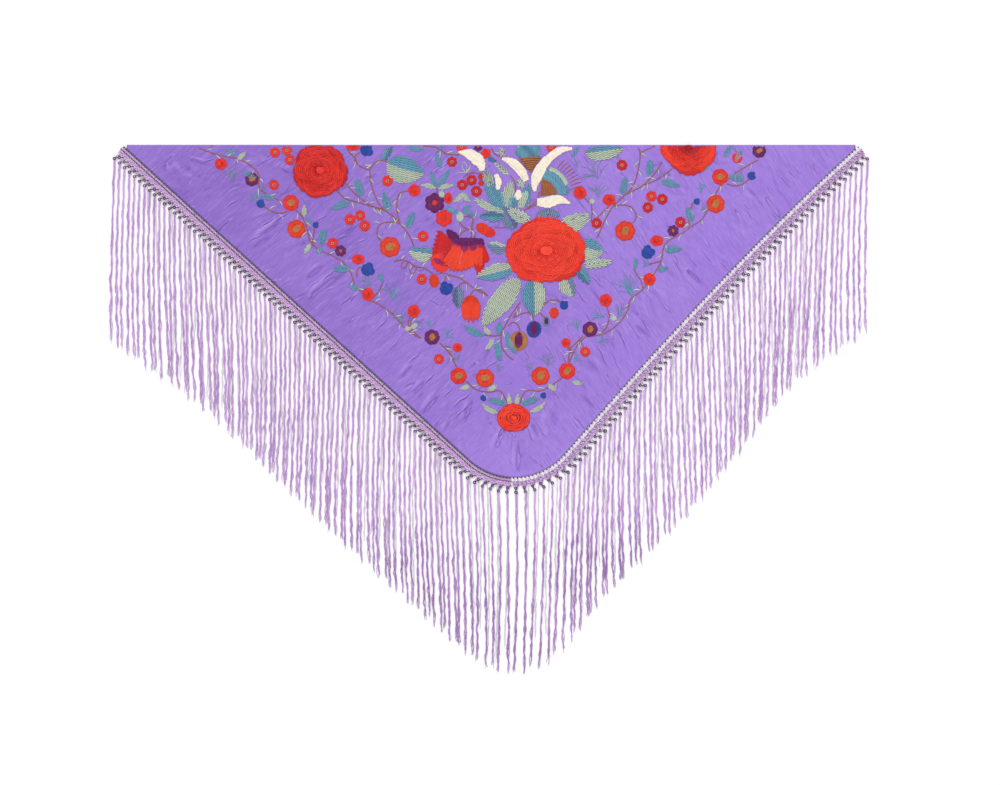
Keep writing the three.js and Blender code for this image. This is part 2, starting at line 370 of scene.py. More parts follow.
def mixColour(tree, factor, first, second, blend="MIX"):
    node = tree.nodes.new("ShaderNodeMix")
    node.data_type = "RGBA"
    node.blend_type = blend
    for socket, value in ((node.inputs[0], factor), (node.inputs[6], first), (node.inputs[7], second)):
        if isinstance(value, bpy.types.NodeSocket):
            tree.links.new(value, socket)
        else:
            socket.default_value = value
    return node.outputs[2]


def rangeNode(tree, value, fromLow, fromHigh, toLow, toHigh):
    return addNode(tree, "ShaderNodeMapRange", {
        "Value": value, "From Min": fromLow, "From Max": fromHigh, "To Min": toLow, "To Max": toHigh,
    }).outputs["Result"]


def noiseNode(tree, vector, scale, detail, roughness=0.5):
    return addNode(tree, "ShaderNodeTexNoise", {
        "Vector": vector, "Scale": scale, "Detail": detail, "Roughness": roughness,
    }).outputs["Fac"]


def waveNode(tree, angle):
    # a sine between 0 and 1
    return mathNode(tree, "MULTIPLY", mathNode(tree, "ADD", mathNode(tree, "SINE", angle), 1.0), 0.5)


def attributeNode(tree, label, output="Fac"):
    return addNode(tree, "ShaderNodeAttribute", attribute_name=label).outputs[output]


def objectPlace(tree):
    return addNode(tree, "ShaderNodeTexCoord").outputs["Object"]


def bumpOn(tree, shader, height, strength, distance):
    bump = addNode(tree, "ShaderNodeBump", {"Height": height, "Strength": strength, "Distance": distance})
    tree.links.new(bump.outputs[0], shader.inputs["Normal"])


def newGroup(name, sockets):
    # a Geometry Nodes tree with its named inputs
    tree = bpy.data.node_groups.new(name, "GeometryNodeTree")
    face = tree.interface
    face.new_socket("Geometry", in_out="INPUT", socket_type="NodeSocketGeometry")
    for label, kind, value in (*sockets, ("Finish", "Material", None)):
        socket = face.new_socket(label, in_out="INPUT", socket_type="NodeSocket" + kind)
        if value is not None:
            socket.default_value = value
    face.new_socket("Geometry", in_out="OUTPUT", socket_type="NodeSocketGeometry")
    return tree, tree.nodes.new("NodeGroupInput").outputs


def endGroup(tree, geometry, finish):
    geometry = addNode(tree, "GeometryNodeRealizeInstances", {"Geometry": geometry}).outputs[0]
    geometry = addNode(tree, "GeometryNodeSetMaterial", {"Geometry": geometry, "Material": finish}).outputs[0]
    addNode(tree, "NodeGroupOutput", {"Geometry": geometry})
    return tree


def storeNode(tree, geometry, label, value):
    return addNode(tree, "GeometryNodeStoreNamedAttribute", {
        "Geometry": geometry, "Name": label, "Value": value,
    }, data_type="FLOAT", domain="POINT").outputs[0]


def namedNode(tree, label, kind="FLOAT"):
    return addNode(tree, "GeometryNodeInputNamedAttribute", {"Name": label}, data_type=kind).outputs[0]


# ---- the silk square, folded: one closed section per column, lofted along the fold
def silkSection(x):
    front = depthAt(x)
    under = max(shawlCut["leastUnder"], depthAt(x, shawlCut["underInset"]))
    top, thick = silkForm["top"], silkForm["thick"]
    hem = silkForm["hemWide"] * min(1.0, front / 30.0)
    y = [-front + hem * k / 6 for k in range(1, 7)]
    y += np.linspace(-front + hem, 0.0, silkForm["rows"])[1:].tolist()
    count = len(y)
    turns = np.linspace(math.pi / 2, -math.pi / 2, 9)[1:]
    outer = top / 2
    inner = outer - thick
    y += (outer * np.cos(turns)).tolist()
    z = [top] * count + (outer + outer * np.sin(turns)).tolist()
    edge = np.linspace(-math.pi / 2, math.pi / 2, 5)
    below = np.linspace(0.0, -under, 9)[1:]
    y += below.tolist() + (-under - 0.5 * thick * np.cos(edge[1:-1])).tolist() + below[::-1].tolist()
    z += [0.0] * 8 + (0.5 * thick + 0.5 * thick * np.sin(edge[1:-1])).tolist() + [thick] * 8
    turns = np.linspace(-math.pi / 2, math.pi / 2, 5)
    y += (inner * np.cos(turns)).tolist()
    z += (outer + inner * np.sin(turns)).tolist()
    back = np.linspace(0.0, -front, 9)[1:]
    y += back.tolist() + (-front - 0.5 * thick * np.cos(edge[1:-1])).tolist() + [-front]
    z += [top - thick] * 8 + (top - 0.5 * thick + 0.5 * thick * np.sin(edge[1:-1])).tolist() + [top]
    return np.array(y), np.array(z), count


def makeSilk():
    reach = foldHalf - shawlCut["endCut"]
    columns = np.linspace(-reach, reach, silkForm["columns"])
    loops = []
    for x in columns:
        y, z, topCount = silkSection(x)
        loops.append(np.stack([np.full(len(y), x), y, z], 1))
    size = len(loops[0])
    points = np.vstack(loops)
    isTop = np.tile(np.arange(size) < topCount, len(columns))
    points[isTop, 2] += creaseHeight(points[isTop, 0], points[isTop, 1])
    points[isTop, 2] += hemHeight(points[isTop, 0], points[isTop, 1])
    faces = []
    for i in range(len(columns) - 1):
        a = i * size
        for k in range(size):
            b = (k + 1) % size
            faces.append((a + k, a + size + k, a + size + b, a + b))
    last = (len(columns) - 1) * size
    faces.append(tuple(range(size)))
    faces.append(tuple(range(last + size - 1, last - 1, -1)))
    piece = makeSmooth(makeMesh("silkSquare", points, faces))
    fromEdge = (depthAt(points[:, 0]) + points[:, 1]) * silkForm["slant"]
    storeValues(piece, "hemShade", np.where(isTop, 1 - smooth(fromEdge, 0.4, 2.8), 0.0))
    # rise is the crease height; the silk's colour uses it for painted shade in troughs and painted highlight on
    # ridges
    storeValues(piece, "rise", np.where(isTop, creaseHeight(points[:, 0], points[:, 1]), 0.0))
    return piece


silkTones = {"base": (133, 98, 188), "weaveScale": 170.0, "grainScale": 520.0, "bump": (0.6, 0.004)}


def silkMaterial():
    material, tree, shader = newMaterial("silkCrepe", 0.55, specular=0.24, sheen=0.08, sheenRough=0.4)
    place = objectPlace(tree)
    spread = addNode(tree, "ShaderNodeSeparateXYZ", {"Vector": place})
    onRight = rangeNode(tree, spread.outputs["X"], -0.06, 0.14, 0.0, 1.0)

    def streaks(turn, scale, thin, detail):
        # noise drawn out along one direction
        mapping = addNode(tree, "ShaderNodeMapping", {
            "Vector": place, "Rotation": (0, 0, math.radians(turn)), "Scale": (1.0, 1.0 / thin, 1.0),
        }, vector_type="TEXTURE")
        return noiseNode(tree, mapping.outputs[0], scale, detail, 0.6)

    def eachSide(leftTurn, rightTurn, scale, thin, detail=3.0):
        return addNode(tree, "ShaderNodeMix", {
            0: onRight, 2: streaks(leftTurn, scale, thin, detail), 3: streaks(rightTurn, scale, thin, detail),
        }, data_type="FLOAT").outputs[0]

    def alongLevel(field, level, width, mask, maskLow):
        # thin lines where a field passes a level, kept only where the mask is high
        off = mathNode(tree, "ABSOLUTE", mathNode(tree, "SUBTRACT", field, level))
        return mathNode(tree, "MULTIPLY", rangeNode(tree, off, 0.0, width, 1.0, 0.0),
                        rangeNode(tree, mask, maskLow, 0.62, 0.0, 1.0))

    crinkle = eachSide(38, 128, 11.0, 6.0)
    fine = eachSide(42, 122, 46.0, 5.0)
    lineField = eachSide(39, 124, 8.0, 8.0, 0.7)
    lineMask = eachSide(30, 135, 12.0, 2.0, 1.0)
    # the thin dark crease lines are painted shade and the light lines beside them are painted highlight
    lines = alongLevel(lineField, 0.5, 0.026, lineMask, 0.52)
    creaseHighlightLines = alongLevel(lineField, 0.53, 0.022, lineMask, 0.50)
    grain = noiseNode(tree, place, silkTones["grainScale"], 2.0, 0.7)
    weave = []
    for turn in (45, -45):
        mapping = addNode(tree, "ShaderNodeMapping", {"Vector": place, "Rotation": (0, 0, math.radians(turn))})
        weave.append(addNode(tree, "ShaderNodeTexWave", {
            "Vector": mapping.outputs[0], "Scale": silkTones["weaveScale"], "Distortion": 1.2, "Detail": 1.0,
        }, wave_type="BANDS", bands_direction="X").outputs["Fac"])
    threads = mathNode(tree, "MULTIPLY", mathNode(tree, "ADD", weave[0], weave[1]), 0.5)
    mild = noiseNode(tree, place, 5.0, 3.0, 0.6)
    rise, hemShade, acrossTuck = (attributeNode(tree, label) for label in ("rise", "hemShade", "across"))

    tones = [  # what the tone follows, its range, how much it counts, the tone
        (spread.outputs["X"], -0.5, 0.35, 0.0, 1.0, (155, 121, 213)),
        (spread.outputs["Y"], 0.0, -0.25, 0.0, 0.75, (167, 134, 223)),
        (mild, 0.35, 0.65, 0.0, 0.3, (172, 141, 226)),
        # painted shade and painted highlight: the crinkle and fine streaks darken and lighten the silk along its
        # small wrinkles
        (crinkle, 0.34, 0.48, 0.2, 0.0, (126, 91, 182)),
        (crinkle, 0.54, 0.70, 0.0, 0.2, (178, 147, 228)),
        (fine, 0.34, 0.5, 0.30, 0.0, (130, 95, 188)),
        (fine, 0.54, 0.68, 0.0, 0.22, (186, 158, 234)),
        (threads, 0.0, 1.0, 0.12, 0.0, (128, 94, 186)),
        (grain, 0.35, 0.6, 0.14, 0.0, (128, 94, 184)),
        # painted shade in the crease troughs and painted highlight on the crease ridges, following rise
        (rise, -0.15, -0.8, 0.0, 0.6, (104, 70, 164)),
        (rise, 0.5, 1.8, 0.0, 0.4, (184, 155, 233)),
        # painted highlight and painted shade along the thin crease lines
        (creaseHighlightLines, 0.0, 1.0, 0.0, 0.42, (192, 165, 236)),
        (lines, 0.0, 1.0, 0.0, 0.6, (106, 72, 166)),
        # painted shade on one side of each tuck and painted highlight on the other, following across
        (acrossTuck, 0.1, 0.75, 0.0, 0.8, (96, 62, 156)),
        (acrossTuck, -0.1, -0.75, 0.0, 0.45, (190, 162, 236)),
        (hemShade, 0.0, 1.0, 0.0, 0.5, (112, 78, 160)),
    ]
    base = (*linear(*silkTones["base"]), 1)
    for value, low, high, least, most, tone in tones:
        base = mixColour(tree, rangeNode(tree, value, low, high, least, most), base, (*linear(*tone), 1))
    tree.links.new(base, shader.inputs["Base Color"])

    height = crinkle
    for layer, share in ((fine, 0.45), (grain, 0.08), (threads, 0.08), (lines, -0.35), (creaseHighlightLines, 0.2)):
        height = mathNode(tree, "ADD", height, mathNode(tree, "MULTIPLY", layer, share))
    bumpOn(tree, shader, height, *silkTones["bump"])
    return material


silkPiece = makeSilk()
silkPiece.data.materials.append(silkMaterial())
print("shawl: silk", len(silkPiece.data.polygons), "faces")


# ---- thread: every embroidered row, stem and net cord is a guide line that Geometry Nodes turn into yarn
def threadTree(name):
    tree, start = newGroup(name, (("Sides", "Int", 6), ("Flatness", "Float", 0.4)))
    curve = addNode(tree, "GeometryNodeMeshToCurve", {"Mesh": start["Geometry"]}).outputs[0]
    curve = addNode(tree, "GeometryNodeSetCurveNormal", {"Curve": curve}, mode="Z_UP").outputs[0]
    curve = storeNode(tree, curve, "along", addNode(tree, "GeometryNodeSplineParameter").outputs["Length"])
    circle = addNode(tree, "GeometryNodeCurvePrimitiveCircle", {"Resolution": start["Sides"], "Radius": 1.0})
    ring = circle.outputs[0]
    split = addNode(tree, "ShaderNodeSeparateXYZ", {
        "Vector": addNode(tree, "GeometryNodeInputPosition").outputs[0],
    })
    for label, part in (("across", "X"), ("ridge", "Y")):
        ring = storeNode(tree, ring, label, split.outputs[part])
    shape = addNode(tree, "ShaderNodeCombineXYZ", {"X": 1.0, "Y": start["Flatness"], "Z": 1.0})
    ring = addNode(tree, "GeometryNodeTransform", {"Geometry": ring, "Scale": shape.outputs[0]}).outputs[0]
    tube = addNode(tree, "GeometryNodeCurveToMesh", {
        "Curve": curve, "Profile Curve": ring, "Scale": namedNode(tree, "yarnRadius"), "Fill Caps": True,
    }).outputs[0]
    return endGroup(tree, tube, start["Finish"])


def bake(guide, name, tree, values):
    # runs the tree on the guide and keeps the plain mesh
    modifier = guide.modifiers.new(name, "NODES")
    modifier.node_group = tree
    for item in tree.interface.items_tree:
        if item.in_out == "INPUT" and item.name in values:
            modifier[item.identifier] = values[item.name]
    depsgraph = bpy.context.evaluated_depsgraph_get()
    mesh = bpy.data.meshes.new_from_object(guide.evaluated_get(depsgraph))
    mesh.name = name
    guide.modifiers.remove(modifier)
    bpy.data.objects.remove(guide)
    piece = bpy.data.objects.new(name, mesh)
    bpy.context.scene.collection.objects.link(piece)
    return makeSmooth(piece)


def chained(lines):
    # the edges that join each line's points
    edges, first = [], 0
    for line in lines:
        edges += [(first + k, first + k + 1) for k in range(len(line) - 1)]
        first += len(line)
    return edges


def guideMesh(name, lines):
    # lines: (points mm (n, 3), radii mm (n), colours (n, 3))
    points, radii, colours = zip(*lines)
    colours = np.vstack(colours)
    guide = makeMesh(name, np.vstack(points), (), chained(points))
    storeValues(guide, "yarnRadius", np.concatenate(radii) * 0.001)
    storeValues(guide, "yarnColour", np.hstack([colours, np.ones((len(colours), 1))]), "FLOAT_COLOR", "color")
    return guide


def yarnMaterial(name, roughness, sheen, grooveShade, ply, plyTurn):
    # the groove shade darkens the flanks of a row, painted shade where neighbouring rows meet; ply is the number
    # of twisted strands that show across it
    material, tree, shader = newMaterial(name, roughness, specular=0.24, sheen=sheen)
    across, along, ridge = (attributeNode(tree, label) for label in ("across", "along", "ridge"))
    strands = waveNode(tree, mathNode(
        tree, "ADD", mathNode(tree, "MULTIPLY", across, ply), mathNode(tree, "MULTIPLY", along, plyTurn)))
    patch = noiseNode(tree, objectPlace(tree), 160.0, 3.0)
    # painted shade on the flanks of every row
    shade = rangeNode(tree, mathNode(tree, "ABSOLUTE", ridge), 0.05, 0.8, grooveShade, 1.06)
    shade = mathNode(tree, "MULTIPLY", shade, rangeNode(tree, strands, 0.0, 1.0, 0.9, 1.04))
    shade = mathNode(tree, "MULTIPLY", shade, rangeNode(tree, patch, 0.3, 0.7, 0.9, 1.1))
    grey = addNode(tree, "ShaderNodeCombineXYZ", {"X": shade, "Y": shade, "Z": shade}).outputs[0]
    colour = mixColour(tree, 1.0, attributeNode(tree, "yarnColour", "Color"), grey, "MULTIPLY")
    tree.links.new(colour, shader.inputs["Base Color"])
    bumpOn(tree, shader, mathNode(tree, "ADD", strands, mathNode(tree, "MULTIPLY", patch, 0.6)), 0.4, 0.0004)
    return material


yarnTree = threadTree("yarnAlongGuides")


def finishYarn(name, lines, finish, sides=6, flatness=0.4):
    piece = bake(guideMesh(name + "Guide", lines), name, yarnTree,
                 {"Sides": sides, "Flatness": flatness, "Finish": finish})
    print("shawl:", name, len(lines), "lines", countTriangles(piece), "triangles")
    return piece


# ---- embroidery rows: a book is a list of (points mm (n, 2), half width mm, colour or colours, lift mm)
stitchForm = {
    "pitch": 4.5, "overlap": 0.57, "flatness": 0.5, "lift": 0.35, "foldGap": 1.0,
    "ripple": 0.2, "rippleLong": 11.0, "ripplePhase": 0.3, "rippleOverlap": 0.52,
    "step": 7.5, "rippleStep": 2.9, "scan": 0.8,  # between points of a row, and in the search for its ends
    "seed": 5,
}
stitchChance = random.Random(stitchForm["seed"])


def tint(colour, spread=0.07):
    factor = 1.0 + stitchChance.uniform(-spread, spread)
    return [c * factor for c in colour]


def resample(points, step):
    points = np.asarray(points, dtype=float)
    reach = np.concatenate([[0], np.cumsum(np.linalg.norm(np.diff(points, axis=0), axis=1))])
    count = max(2, int(round(reach[-1] / step)) + 1)
    at = np.linspace(0, reach[-1], count)
    return np.stack([np.interp(at, reach, points[:, 0]), np.interp(at, reach, points[:, 1])], 1)


def curveThrough(points, step=6.0):
    # smooth line through given points
    points = np.asarray(points, dtype=float)
    if len(points) == 2:
        return resample(points, step)
    padded = np.vstack([2 * points[0] - points[1], points, 2 * points[-1] - points[-2]])
    line = []
    for k in range(1, len(padded) - 2):
        a, b, c, d = padded[k - 1:k + 3]
        for t in np.linspace(0, 1, 9)[:-1]:
            line.append(0.5 * (2 * b + (c - a) * t + (2 * a - 5 * b + 4 * c - d) * t * t
                               + (3 * b - a - 3 * c + d) * t ** 3))
    line.append(padded[-2])
    return resample(line, step)


def addRow(book, points, half, colours, lift=None, taper=0.0):
    points = np.asarray(points, dtype=float)
    limit = -stitchForm["foldGap"]
    if (points[:, 1] > limit).any():
        keep = points[:, 1] <= limit
        if keep.sum() < 2:
            return
        runs = np.flatnonzero(keep)
        first, last = runs[0], runs[-1]
        part = points[first:last + 1].copy()
        part[:, 1] = np.minimum(part[:, 1], limit)
        if not isinstance(colours[0], (float, int)):
            colours = colours[first:last + 1]
        points = part
    count = len(points)
    t = np.linspace(-1, 1, count)
    radii = half * (1 - taper * np.abs(t) ** 2.0)
    if isinstance(colours[0], (float, int)):
        colours = [colours] * count
    lift = stitchForm["lift"] if lift is None else lift
    book.append((points, radii, np.asarray(colours, dtype=float), lift))


def liftOnSilk(book):
    # lays every row on the silk's creases
    points = np.vstack([row[0] for row in book])
    heights = silkTop(points[:, 0], points[:, 1])
    lines = []
    first = 0
    for flat, radii, colours, lift in book:
        count = len(flat)
        z = heights[first:first + count] + lift
        lines.append((np.column_stack([flat, z]), radii, colours))
        first += count
    return lines


leafShape = {"blunt": 0.55, "point": 0.75}


def leafWidth(t):
    blunt, point = leafShape["blunt"], leafShape["point"]
    t = np.clip(t, 0.0, 1.0)
    peak = blunt / (blunt + point)
    top = peak ** blunt * (1 - peak) ** point
    return t ** blunt * (1 - t) ** point / top


def ovalWidth(t):
    t = np.clip(t, 0.0, 1.0)
    return np.sqrt(np.maximum(0.0, 1 - (2 * t - 1) ** 2))


def hatch(book, spine, half, side, colour, angle=0.0, pitch=None, width=leafWidth, lift=None, ragged=0.7,
          shade=None, ripple=None, overlap=None, taper=0.15):
    # rows of stitches on one side of a spine (side 1 is to its left, -1 to its right), at an angle to it
    pitch = pitch or stitchForm["pitch"]
    ripple = stitchForm["ripple"] if ripple is None else ripple
    overlap = overlap or stitchForm["overlap"]
    step = stitchForm["rippleStep" if ripple else "step"]
    spine = curveThrough(spine, 2.0)
    steps = np.linalg.norm(np.diff(spine, axis=0), axis=1)
    reach = np.concatenate([[0], np.cumsum(steps)])
    long = reach[-1]
    direction = np.gradient(spine, reach, axis=0)
    direction /= np.linalg.norm(direction, axis=1)[:, None]
    u = heading(angle * side)
    n = leftOf(u)
    far = long + half
    reachRows = int(far / pitch) + 1
    for k in range(-reachRows, reachRows + 1):
        c = (k + 0.5) * pitch
        r = np.arange(-far, far, stitchForm["scan"])
        s = c * n[0] + r * u[0]
        d = c * n[1] + r * u[1]
        inside = (s >= 0) & (s <= long) & (d * side >= 0) & (np.abs(d) <= half * width(s / long))
        if inside.sum() < 4:
            continue
        places = np.flatnonzero(inside)
        breaks = np.flatnonzero(np.diff(places) > 1)
        for run in np.split(places, breaks + 1):
            if len(run) < 4:
                continue
            low = r[run[0]] - stitchChance.uniform(0, ragged)
            high = r[run[-1]] + stitchChance.uniform(0, ragged)
            count = max(2, int(round((high - low) / step)) + 1)
            at = np.linspace(low, high, count)
            sway = ripple * pitch * np.sin(
                at * 2 * math.pi / stitchForm["rippleLong"] + stitchForm["ripplePhase"] * k)
            ss = np.clip(c * n[0] + at * u[0] + sway * n[0], 0, long)
            dd = c * n[1] + at * u[1] + sway * n[1]
            base = np.stack([np.interp(ss, reach, spine[:, 0]), np.interp(ss, reach, spine[:, 1])], 1)
            tx = np.interp(ss, reach, direction[:, 0])
            ty = np.interp(ss, reach, direction[:, 1])
            line = base + np.stack([-ty, tx], 1) * dd[:, None]
            own = tint(colour)
            if shade is not None:
                own = [[c0 * f for c0 in own] for f in shade(ss / long, dd / half)]
            addRow(book, line, pitch * overlap, own, lift=lift, taper=taper)


def bent(start, end, bend):
    # spine from start to end with its middle set aside, all in photograph pixels
    a, b = fromPhoto(*start), fromPhoto(*end)
    middle = (a + b) / 2
    d = b - a
    return [a, middle + leftOf(d) / (np.linalg.norm(d) + 1e-6) * bend * chart["mmPerPx"], b]


def leaf(book, start, end, left, right, leftTone, rightTone, angle=0.0, bend=0.0, pitch=None, lift=None,
         ragged=0.9, taper=0.15, ripple=None):
    spine = bent(start, end, bend)
    mm = chart["mmPerPx"]
    for side, half, tone in ((1, left, leftTone), (-1, right, rightTone)):
        hatch(book, spine, half * mm, side, threadColours[tone], angle, pitch, leafWidth, lift, ragged,
              taper=taper, ripple=ripple, overlap=stitchForm["rippleOverlap"] if ripple else None)


# large leaves round the roses: base, tip, half widths to the left and right of the way to the tip in pixels,
# their tones, stitch angle, bend
largeLeaves = [
    ((387, 163), (424.2, 173.7), 12.6, 14, "teal", "sage", 0, -1.5),
    ((383, 159.4), (392, 145), 3.5, 3.5, "teal", "tealDark", 30, 0),
    ((513, 268), (476.5, 277), 7.5, 8.5, "teal", "sage", 0, 0.5),
    ((507, 248), (487.4, 243.3), 8.5, 4, "slate", "sage", 12, 0),
    ((519, 279), (482.3, 325.6), 10.5, 11.5, "sage", "sage", 0, 0),
    ((534, 280), (534.9, 316), 11, 12.5, "sage", "teal", 0, 0),
    ((566, 276), (573.5, 296.5), 5.5, 11, "slate", "sage", 20, 0),
    ((577, 266), (589.4, 284.4), 5, 5, "teal", "tealDark", 10, 0),
    ((584, 265.3), (613.3, 261.5), 4.6, 4.6, "sage", "sage", 24, 0),
    ((578, 247), (603.5, 251), 10, 12, "teal", "sage", 8, 0),
    ((560, 224), (589, 214), 5, 12.5, "sage", "sage", 10, 0),
    ((548, 219.5), (547.6, 208.6), 11.5, 11.5, "slate", "slate", 12, 0),
    ((514, 230), (504, 206), 7, 7, "slate", "slateDark", 10, 0),
    ((530, 222), (506.8, 207.5), 6, 6, "sage", "sage", 14, 1),
    ((503.6, 216.8), (479.5, 216.3), 4.8, 4.8, "teal", "tealDark", 0, 0),
    ((504, 213.1), (473.5, 198.3), 4.2, 4.2, "sage", "sage", 0, 1.5),
    ((503.1, 209.4), (485.5, 181.2), 7.2, 6.8, "teal", "teal", 0, 0),
    ((491.5, 186.5), (484.8, 170.5), 5.4, 5.0, "sageDark", "sageDark", 10, 0),
    ((505, 207.5), (511.5, 181.2), 6.4, 6.4, "sage", "sage", 0, 0),
    ((512.8, 208), (512.4, 195.5), 4.8, 4.8, "teal", "teal", 0, 0),
    ((523.5, 188.1), (517.9, 178.9), 3, 3, "sage", "sage", 0, 0),
    ((525.5, 207), (529.5, 183.6), 3.5, 5.2, "teal", "teal", 0, 2),
    ((519.8, 208.5), (527.2, 190.4), 4.4, 4.4, "sage", "sage", 0, 0),
    ((585.6, 153.4), (623.5, 148.5), 7, 9.5, "teal", "sage", 0, 0),
    ((572.5, 157.6), (579, 145), 2.2, 2.2, "teal", "teal", 0, 0),
    ((432.5, 253.7), (408.5, 250.8), 9.5, 5.5, "sage", "teal", 14, 0),
    ((457.4, 286.5), (458.4, 308), 5.6, 5.6, "slate", "slateDark", 0, 0),
    ((509.6, 175.6), (493.4, 162.2), 2.8, 2.8, "sage", "sageDark", 28, 0),
    ((503.1, 157.5), (501.3, 145), 2.6, 2.6, "sage", "sageDark", 24, 0),
]

# small leaves: base, tip, half width in pixels, tone, stitch angle, bend
smallLeaves = [
    ((361.7, 196), (356, 178.6), 4.0, "teal", 32, 0), ((350.5, 202.4), (330, 209), 3.6, "teal", 32, 0),
    ((389, 211.6), (383.5, 192), 3.7, "teal", 32, 0),
    ((406.6, 228.4), (414.4, 211.6), 3.8, "teal", 32, 0),
    ((320.3, 245), (325, 227.7), 3.8, "teal", 32, 0),
    ((350.5, 268.4), (331.6, 269.8), 3.8, "teal", 32, 0),
    ((359.6, 288.7), (347.7, 286.6), 2.6, "teal", 10, 0),
    ((382.8, 283), (379.3, 272.6), 2.4, "teal", 10, 0), ((323, 248.7), (315.7, 253), 2.6, "teal", 20, 0),
    ((304, 217), (304.6, 204.5), 2.2, "sage", 0, 0),
    ((407.3, 145.8), (424.5, 149.5), 2.2, "teal", 0, -1.5), ((441.7, 168), (436, 152), 2.3, "teal", 0, 1),
    ((435.4, 187), (431, 171), 2.7, "teal", 0, 0), ((438, 187.7), (449.4, 169.5), 2.8, "teal", 0, 0),
    ((436, 188.4), (420, 185), 2.1, "sage", 0, -0.8), ((438, 189), (454.3, 185.2), 2.2, "sage", 0, 0.8),
    ((462.8, 192.6), (453, 202.4), 2.3, "sage", 0, 1.4),
    ((462.8, 192.6), (470.8, 202), 2.3, "sage", 0, -1.4), ((458.5, 213), (446, 205), 1.9, "teal", 0, 1.6),
    ((462.8, 213), (471.6, 204.6), 1.9, "teal", 0, 1.2),
    ((463.5, 212.3), (475.8, 216.5), 1.9, "teal", 0, 1.6), ((459, 214), (445, 209), 1.7, "teal", 0, -1.2),
    ((441, 198), (442, 190), 2.8, "sage", 0, 0), ((439.5, 145), (441.3, 150.5), 1.8, "teal", 0, 0),
    ((487.8, 157), (497, 161), 2.2, "tealDark", 0, -1), ((483.2, 336), (463.6, 326), 3.3, "teal", 0, 0.8),
    ((498, 334), (500, 321.5), 3.2, "teal", 0, 0), ((498.6, 361), (496, 341), 3.3, "teal", 0, -0.8),
    ((490.9, 334.2), (484, 326.2), 2.5, "sage", 0, 1), ((492.8, 338), (485, 349.8), 2.6, "sage", 0, 1.6),
    ((516, 353.5), (507, 330.5), 3.0, "teal", 0, 2.4),
    ((648.7, 176.4), (650.6, 158.6), 3.6, "teal", 32, 0),
    ((621.9, 195.5), (626.1, 175.8), 3.6, "teal", 32, 0),
    ((660.2, 181.1), (680.3, 186.5), 3.6, "teal", 32, 0), ((664, 250), (682.2, 249), 3.5, "teal", 32, 0),
    ((692.7, 222.3), (686.6, 206), 3.5, "teal", 32, 0),
    ((657.3, 271), (668.8, 267.2), 2.6, "teal", 10, 0),
    ((634.4, 270), (636.3, 257.7), 2.3, "teal", 10, 0), ((704, 171), (708, 158), 3.2, "teal", 32, 0),
    ((728, 176), (745, 181), 3.0, "teal", 30, 0), ((741, 150), (735, 163), 3.0, "teal", 30, 0),
    ((725, 157), (729, 147), 2.6, "teal", 20, 0), ((262, 196), (276, 199), 2.8, "teal", 30, 0),
    ((243, 173), (258, 178), 2.4, "teal", 20, 0), ((238, 160), (246, 152), 2.6, "sage", 0, 0),
    ((311, 244), (304, 254), 2.4, "sage", 0, 0), ((506, 403.5), (487, 399.5), 3.4, "teal", 30, 0),
    ((521, 403.5), (540, 398), 3.4, "teal", 30, 0), ((498, 413), (481.5, 403), 2.3, "sage", 0, 1.8),
    ((530, 412), (546, 401.5), 2.3, "sage", 0, -1.8), ((510, 406), (508.5, 393), 2.2, "sage", 0, 0),
    ((516.6, 406), (518, 393), 2.2, "sage", 0, 0), ((388, 150), (383, 161), 2.6, "teal", 20, 0),
    ((418, 324), (409, 329), 2.2, "sage", 0, 0), ((548, 384), (556, 391), 2.4, "sage", 0, 0),
    ((497, 386), (487, 391), 2.4, "sage", 0, 0), ((572, 382), (583, 384), 2.2, "sage", 0, 0),
    ((470, 386), (459, 389), 2.2, "sage", 0, 0),
]

leafBook = []
for number, (start, end, left, right, leftTone, rightTone, angle, bend) in enumerate(largeLeaves):
    leaf(leafBook, start, end, left, right, leftTone, rightTone, angle, bend, lift=0.2 + 0.4 * (number % 3),
         ripple=0.3)
for start, end, half, tone, angle, bend in smallLeaves:
    serrated = angle > 25
    turn, pitch, ragged, taper = (42, 3.3, 1.6, 0.5) if serrated else (angle, 2.9, 0.5, 0.2)
    leaf(leafBook, start, end, half, half, tone, tone, turn, bend, pitch, 0.4, ragged=ragged, taper=taper)


# ---- roses: a padded ground, a scalloped rim, then rings of overlapping petals sewn in rippling arcs
roseForm = {
    "pitch": 3.9,
    "ripple": 0.9,
    "rim": (0.80, 22, 0.045),  # inner radius, scallops, their depth
    "rings": [  # outer radius, depth, petals, turn in degrees
        (0.90, 0.27, 9, 0), (0.70, 0.26, 7, 23), (0.50, 0.24, 5, 58), (0.31, 0.20, 4, 10),
    ],
    "ringLift": 0.5,
    "padHalf": 2.8, "padPitch": 4.2, "padLift": 0.4, "rimLift": 1.0,
    "rowHalf": 0.52, "rowPitch": 0.93,  # in shares of the pitch
    "heart": (0.12, 0.15),  # half width and half length in shares of the rose
}
roses = [
    {"at": (545.6, 251), "size": (40.5, 33.2), "tones": ("roseDark", "rose", "roseLight"), "turn": 0,
     "seed": 3},
    {"at": (320, 170.5), "size": (27.6, 27.2), "tones": ("wineRed", "wine", "rose"), "turn": 50, "seed": 8},
    {"at": (689, 144), "size": (28.2, 31.0), "tones": ("wineRed", "rose", "roseLight"), "turn": 20, "seed": 5,
     "heart": "wineRed"},
    {"at": (513.5, 417.8), "size": (16.6, 13.8), "tones": ("roseDark", "rose", "roseLight"), "turn": 80,
     "seed": 9},
]


